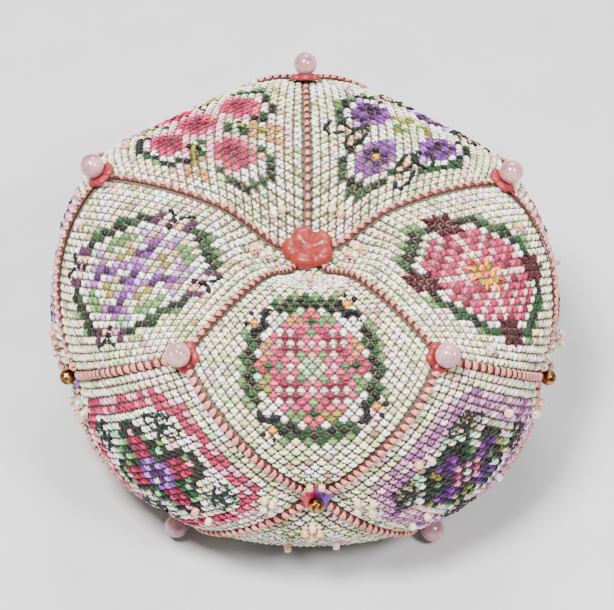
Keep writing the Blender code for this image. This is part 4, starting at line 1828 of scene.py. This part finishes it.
@dataclass
class GlassFlower:
    """Pressed-glass flower, flat at the back, its edge cut into petals with grooves between.

    Attributes:
        diameter: Across the tips of its petals.
        thickness: From its back to the crest of its petals.
        petals: How many petals.
        notch: How deep the edge is cut between petals, as a share of the radius.
        hollow: How far the middle lies below the crest, as a share of the thickness.
        flare: How far its widest ring stands out past its back.
        groove_depth: How deep the grooves are, as a share of the thickness.
        groove_sharpness: Power that narrows the grooves.
    """

    diameter: float
    thickness: float
    petals: int = 5
    notch: float = 0.2
    hollow: float = 0.35
    flare: float = 1.1
    groove_depth: float = 0.24
    groove_sharpness: int = 6
    rim_segments: int = 40

    def model(self, name: str) -> Mesh:
        """Model the flower on z = 0, from a disc that is extruded ring by ring and smoothed.

        Args:
            name: Name of its mesh.

        Returns:
            The mesh, standing along +Z.
        """
        flower = blank(bpy.ops.mesh.primitive_circle_add, vertices=self.rim_segments,
                       radius=self.diameter / 2, fill_type="NGON")
        flower.name = name
        for vertex in flower.data.vertices:
            vertex.co *= self.edge_share(math.atan2(vertex.co.y, vertex.co.x)) / self.flare
        bpy.ops.object.mode_set(mode="EDIT")
        bpy.ops.mesh.select_all(action="SELECT")
        hollow = self.hollow
        for lift, size in ((0.12, self.flare), (0.38, 1.0), (0.3, 0.94), (0.15, 0.87),
                           (0.05, 0.82), (-0.25 * hollow, 0.75), (-0.4 * hollow, 0.66),
                           (-0.35 * hollow, 0.5)):
            bpy.ops.mesh.extrude_region_move(
                TRANSFORM_OT_translate={"value": (0.0, 0.0, self.thickness * lift)})
            bpy.ops.transform.resize(value=(size, size, 1.0), center_override=(0.0, 0.0, 0.0))
        bpy.ops.object.mode_set(mode="OBJECT")
        self.turn_out(flower)
        finish_with(flower, "smooth", "SUBSURF", levels=1, render_levels=1)
        self.groove(flower.data)
        bpy.ops.object.shade_smooth()
        return take_mesh(flower)

    def edge_share(self, angle: float) -> float:
        """Share of the full radius that the edge reaches at an angle."""
        return 1.0 - self.notch * (1.0 - abs(math.cos(self.petals * angle / 2)))

    @staticmethod
    def turn_out(flower: Object) -> None:
        """Turn the faces of the shell outwards."""
        shell = bmesh.new()
        shell.from_mesh(flower.data)
        bmesh.ops.remove_doubles(shell, verts=shell.verts, dist=0.001 * MM)
        bmesh.ops.recalc_face_normals(shell, faces=shell.faces)
        shell.to_mesh(flower.data)
        shell.free()

    def groove(self, mesh: Mesh) -> None:
        """Press grooves between the petals."""
        for vertex in mesh.vertices:
            radius = math.hypot(vertex.co.x, vertex.co.y) / (self.diameter / 2)
            angle = math.atan2(vertex.co.y, vertex.co.x)
            between = abs(math.sin(self.petals * angle / 2)) ** self.groove_sharpness
            depth = self.groove_depth * between * min(1.0, radius * 1.6)
            if vertex.co.z > self.thickness * 0.3:
                vertex.co.z -= self.thickness * depth
        low = min(vertex.co.z for vertex in mesh.vertices)
        for vertex in mesh.vertices:
            vertex.co.z -= low

    @staticmethod
    def tint(mesh: Mesh, left: Tone, right: Tone) -> None:
        """Colour the glass, one half of its own Y each way, softly between.

        Args:
            mesh: The flower's mesh, before it is put in place.
            left: Screen colour on its -Y side.
            right: Screen colour on its +Y side.
        """
        blend_width = 1.6 * MM
        share = np.clip(points_of(mesh)[:, 1:2] / blend_width + 0.5, 0.0, 1.0)
        colour_points(mesh, "tint", to_linear(left) * (1 - share) + to_linear(right) * share)


@dataclass
class SewnOnPieces:
    """The flower button and each corner's flower with its pearl or bronze bead.

    Attributes:
        gap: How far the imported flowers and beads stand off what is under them.
        seat: How much deeper a bead sits here, in the hollow of its flower.
        equator_bed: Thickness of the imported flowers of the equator.
    """

    shape: BallShape
    gap: float = 0.4 * MM
    seat: float = 0.8 * MM
    equator_bed: float = 0.8 * MM
    worn_edge: float = 0.05 * MM
    coral: Tone = (152, 50, 46)
    red: Tone = (158, 44, 50)
    pink: Tone = (220, 60, 92)
    violet: Tone = (112, 62, 176)
    pearl_diameter: float = 5.6 * MM
    bronze_diameter: float = 3.9 * MM
    button: GlassFlower = field(default_factory=lambda: GlassFlower(
        12.7 * MM, 3.4 * MM, notch=0.16, hollow=0.4))
    corner_flower: GlassFlower = field(default_factory=lambda: GlassFlower(7.6 * MM, 1.5 * MM))
    equator_flower: GlassFlower = field(default_factory=lambda: GlassFlower(7.6 * MM, 0.9 * MM))

    def pearl(self) -> Mesh:
        """Model a pearl with a dimple at each end of its hole."""
        radius = self.pearl_diameter / 2
        pearl = blank(bpy.ops.mesh.primitive_uv_sphere_add, segments=32, ring_count=18,
                      radius=radius)
        bpy.ops.object.mode_set(mode="EDIT")
        bpy.ops.mesh.select_all(action="DESELECT")
        shell = bmesh.from_edit_mesh(pearl.data)
        for vertex in shell.verts:
            vertex.select = abs(vertex.co.z) > radius * 0.999
        shell.select_flush_mode()
        bmesh.update_edit_mesh(pearl.data)
        bpy.ops.transform.resize(value=(1.0, 1.0, 0.8), center_override=(0.0, 0.0, 0.0))
        bpy.ops.object.mode_set(mode="OBJECT")
        bpy.ops.object.shade_smooth()
        return take_mesh(pearl)

    def bronze(self) -> Mesh:
        """Model a cut bead: flat facets with their edges worn round."""
        bead = blank(bpy.ops.mesh.primitive_ico_sphere_add, subdivisions=2,
                     radius=self.bronze_diameter / 2)
        finish_with(bead, "worn edges", "BEVEL", width=self.worn_edge, segments=1,
                    limit_method="ANGLE", angle_limit=math.radians(5.0))
        bpy.ops.object.shade_smooth_by_angle(angle=math.radians(4.0))
        return take_mesh(bead)

    def build(self, finishes: Finishes) -> list[Object]:
        """Sew every piece to its corner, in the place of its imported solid."""
        meshes = {}
        for key, flower, left, right in (
                ("button", self.button, self.coral, self.coral),
                ("corner", self.corner_flower, self.red, self.red),
                ("equator", self.equator_flower, self.violet, self.pink)):
            meshes[key] = flower.model(f"{key}_glass")
            flower.tint(meshes[key], left, right)
        pearl, bronze = self.pearl(), self.bronze()
        pieces = [self.sew("button_flower", "glass_button", meshes["button"],
                           self.shape.corner("top", 0), self.gap, finishes.glass, "coral_glass")]
        pearls = ("corner", self.corner_flower.thickness, "pearl", pearl, self.pearl_diameter,
                  finishes.pearl, "pearl")
        plan = (("upper", *pearls), ("lower", *pearls),
                ("equator", "equator", self.equator_bed, "bronze", bronze, self.bronze_diameter,
                 finishes.bronze, "bronze_bead"))
        for ring, key, thickness, name, bead, size, material, slot in plan:
            distance = self.gap + thickness + self.gap + size / 2 - self.seat
            for index in range(SIDES):
                corner, place = self.shape.corner(ring, index), f"{ring}_{index + 1}"
                pieces.append(self.sew(f"flower_{place}", f"glass_flower_{place}", meshes[key],
                                       corner, self.gap, finishes.glass, "coral_glass"))
                pieces.append(self.sew(f"{name}_{place}", f"{name}_bead_{place}", bead, corner,
                                       distance, material, slot))
        return pieces

    def sew(self, node: str, name: str, mesh: Mesh, corner: Corner, distance: float,
            material: Material, slot: str) -> Object:
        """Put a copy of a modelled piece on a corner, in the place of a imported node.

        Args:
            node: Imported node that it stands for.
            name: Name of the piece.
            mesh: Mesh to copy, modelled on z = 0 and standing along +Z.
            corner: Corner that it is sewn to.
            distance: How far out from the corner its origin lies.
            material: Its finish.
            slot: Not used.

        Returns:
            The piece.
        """
        direction = self.shape.direction(corner)
        place = Vector(self.shape.point(corner) + direction * distance)
        lean = Vector(direction).to_track_quat("Z", "X").to_matrix().to_4x4()
        copy = mesh.copy()
        copy.transform(Matrix.Translation(place) @ lean)
        piece = new_object(name, copy, material)
        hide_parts(node)
        return piece


# ---- Floor, light and camera ----


@dataclass(frozen=True)
class Lamp:
    """Soft area light."""

    name: str
    place: tuple[float, float, float]
    size: float
    energy: float
    colour: tuple[float, float, float]


@dataclass
class Studio:
    """Pale floor, soft lights and a camera at the photograph's angle."""

    shape: BallShape
    elevation_deg: float = 47.25
    yaw_deg: float = 2.5
    roll_deg: float = 1.95
    distance: float = 0.72
    focal_pixels: float = 3044.0
    image_width: float = 614.0
    image_height: float = 610.0
    ball_at: Place = (306.2, 315.1)
    sensor: float = 36.0
    floor_size: float = 4.0
    floor_tones: tuple[Tone, ...] = ((194, 193, 196), (198, 197, 200))
    sky: tuple[float, float, float, float] = (0.93, 0.95, 1.0, 1.0)
    sky_strength: float = 0.3
    lamps: tuple[Lamp, ...] = (
        Lamp("key", (-0.25, -0.25, 0.88), 0.22, 22.5, (1.0, 0.98, 0.95)),
        Lamp("fill", (0.4, -0.42, 0.78), 0.2, 10.0, (0.98, 0.98, 1.0)),
        Lamp("back", (0.1, 0.6, 0.8), 0.4, 8.0, (1.0, 1.0, 1.0)),
    )

    def build(self) -> None:
        """Make the floor, the lights and the camera."""
        self.floor()
        self.light()
        self.camera()

    def floor(self) -> None:
        """Pale plain floor."""
        floor = blank(bpy.ops.mesh.primitive_plane_add, size=self.floor_size)
        floor.name = "pale_floor"
        material, shader, surface = Finish("pale_floor_paper", 0.85).start()
        dark, light = (to_linear(tone) for tone in self.floor_tones)
        grain = shader.noise(shader.here(), 60.0)
        shader.fit(surface, {"Base Color": shader.ramp(grain, (0.3, dark), (0.7, light))})
        floor.data.materials.append(material)

    def light(self) -> None:
        """Soft lamps from the upper left, the front and the back, and an even sky."""
        target = Vector(self.shape.at(0.0, 0.0, 0.0))
        for lamp in self.lamps:
            light = blank(bpy.ops.object.light_add, type="AREA", location=lamp.place)
            light.name = lamp.name
            light.data.energy, light.data.size = lamp.energy, lamp.size
            light.data.color = lamp.colour
            aim = target - Vector(lamp.place)
            light.rotation_euler = aim.to_track_quat("-Z", "Y").to_euler()
        world = bpy.data.worlds.new("even_sky")
        world.use_nodes = True
        Shader(world.node_tree).fit(world.node_tree.nodes["Background"], {
            "Color": self.sky, "Strength": self.sky_strength})
        bpy.context.scene.world = world

    def camera(self) -> None:
        """Camera at the photograph's distance, angle and framing."""
        lift, yaw, roll = (math.radians(deg) for deg in (self.elevation_deg, self.yaw_deg,
                                                         self.roll_deg))
        level = Vector((math.cos(yaw), -math.sin(yaw), 0.0))
        ahead = Vector((math.sin(yaw), math.cos(yaw), 0.0))
        forward = ahead * math.cos(lift) - Vector((0.0, 0.0, math.sin(lift)))
        upright = ahead * math.sin(lift) + Vector((0.0, 0.0, math.cos(lift)))
        right = math.cos(roll) * level + math.sin(roll) * upright
        up = math.cos(roll) * upright - math.sin(roll) * level
        camera = blank(bpy.ops.object.camera_add)
        turn = Matrix((right, up, -forward)).transposed().to_4x4()
        centre = Vector(self.shape.at(0.0, 0.0, 0.0))
        camera.matrix_world = Matrix.Translation(centre - forward * self.distance) @ turn
        camera.data.sensor_width = self.sensor
        camera.data.lens = self.focal_pixels / self.image_width * self.sensor
        camera.data.shift_x = (self.image_width / 2 - self.ball_at[0]) / self.image_width
        camera.data.shift_y = (self.ball_at[1] - self.image_height / 2) / self.image_width
        bpy.context.scene.camera = camera


def main() -> None:
    """Build and dress the ball, then its studio."""
    logging.basicConfig(level=logging.INFO, format="%(message)s")
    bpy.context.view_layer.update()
    shape = BallShape()
    cloth = StuffedCloth(shape)
    body = cloth.build()
    finishes = Finishes.make(cloth)
    cloth.dress(body, finishes)
    LOG.info("filled the cloth: %d faces", len(body.data.polygons))
    Embroidery(cloth).build(finishes)
    WhippedSeams(cloth).build(finishes)
    SeedBeads(cloth).build(finishes)
    sewn = SewnOnPieces(shape).build(finishes)
    LOG.info("sewed on %d flowers and beads", len(sewn))
    Studio(shape).build()


if __name__ == "__main__":
    main()
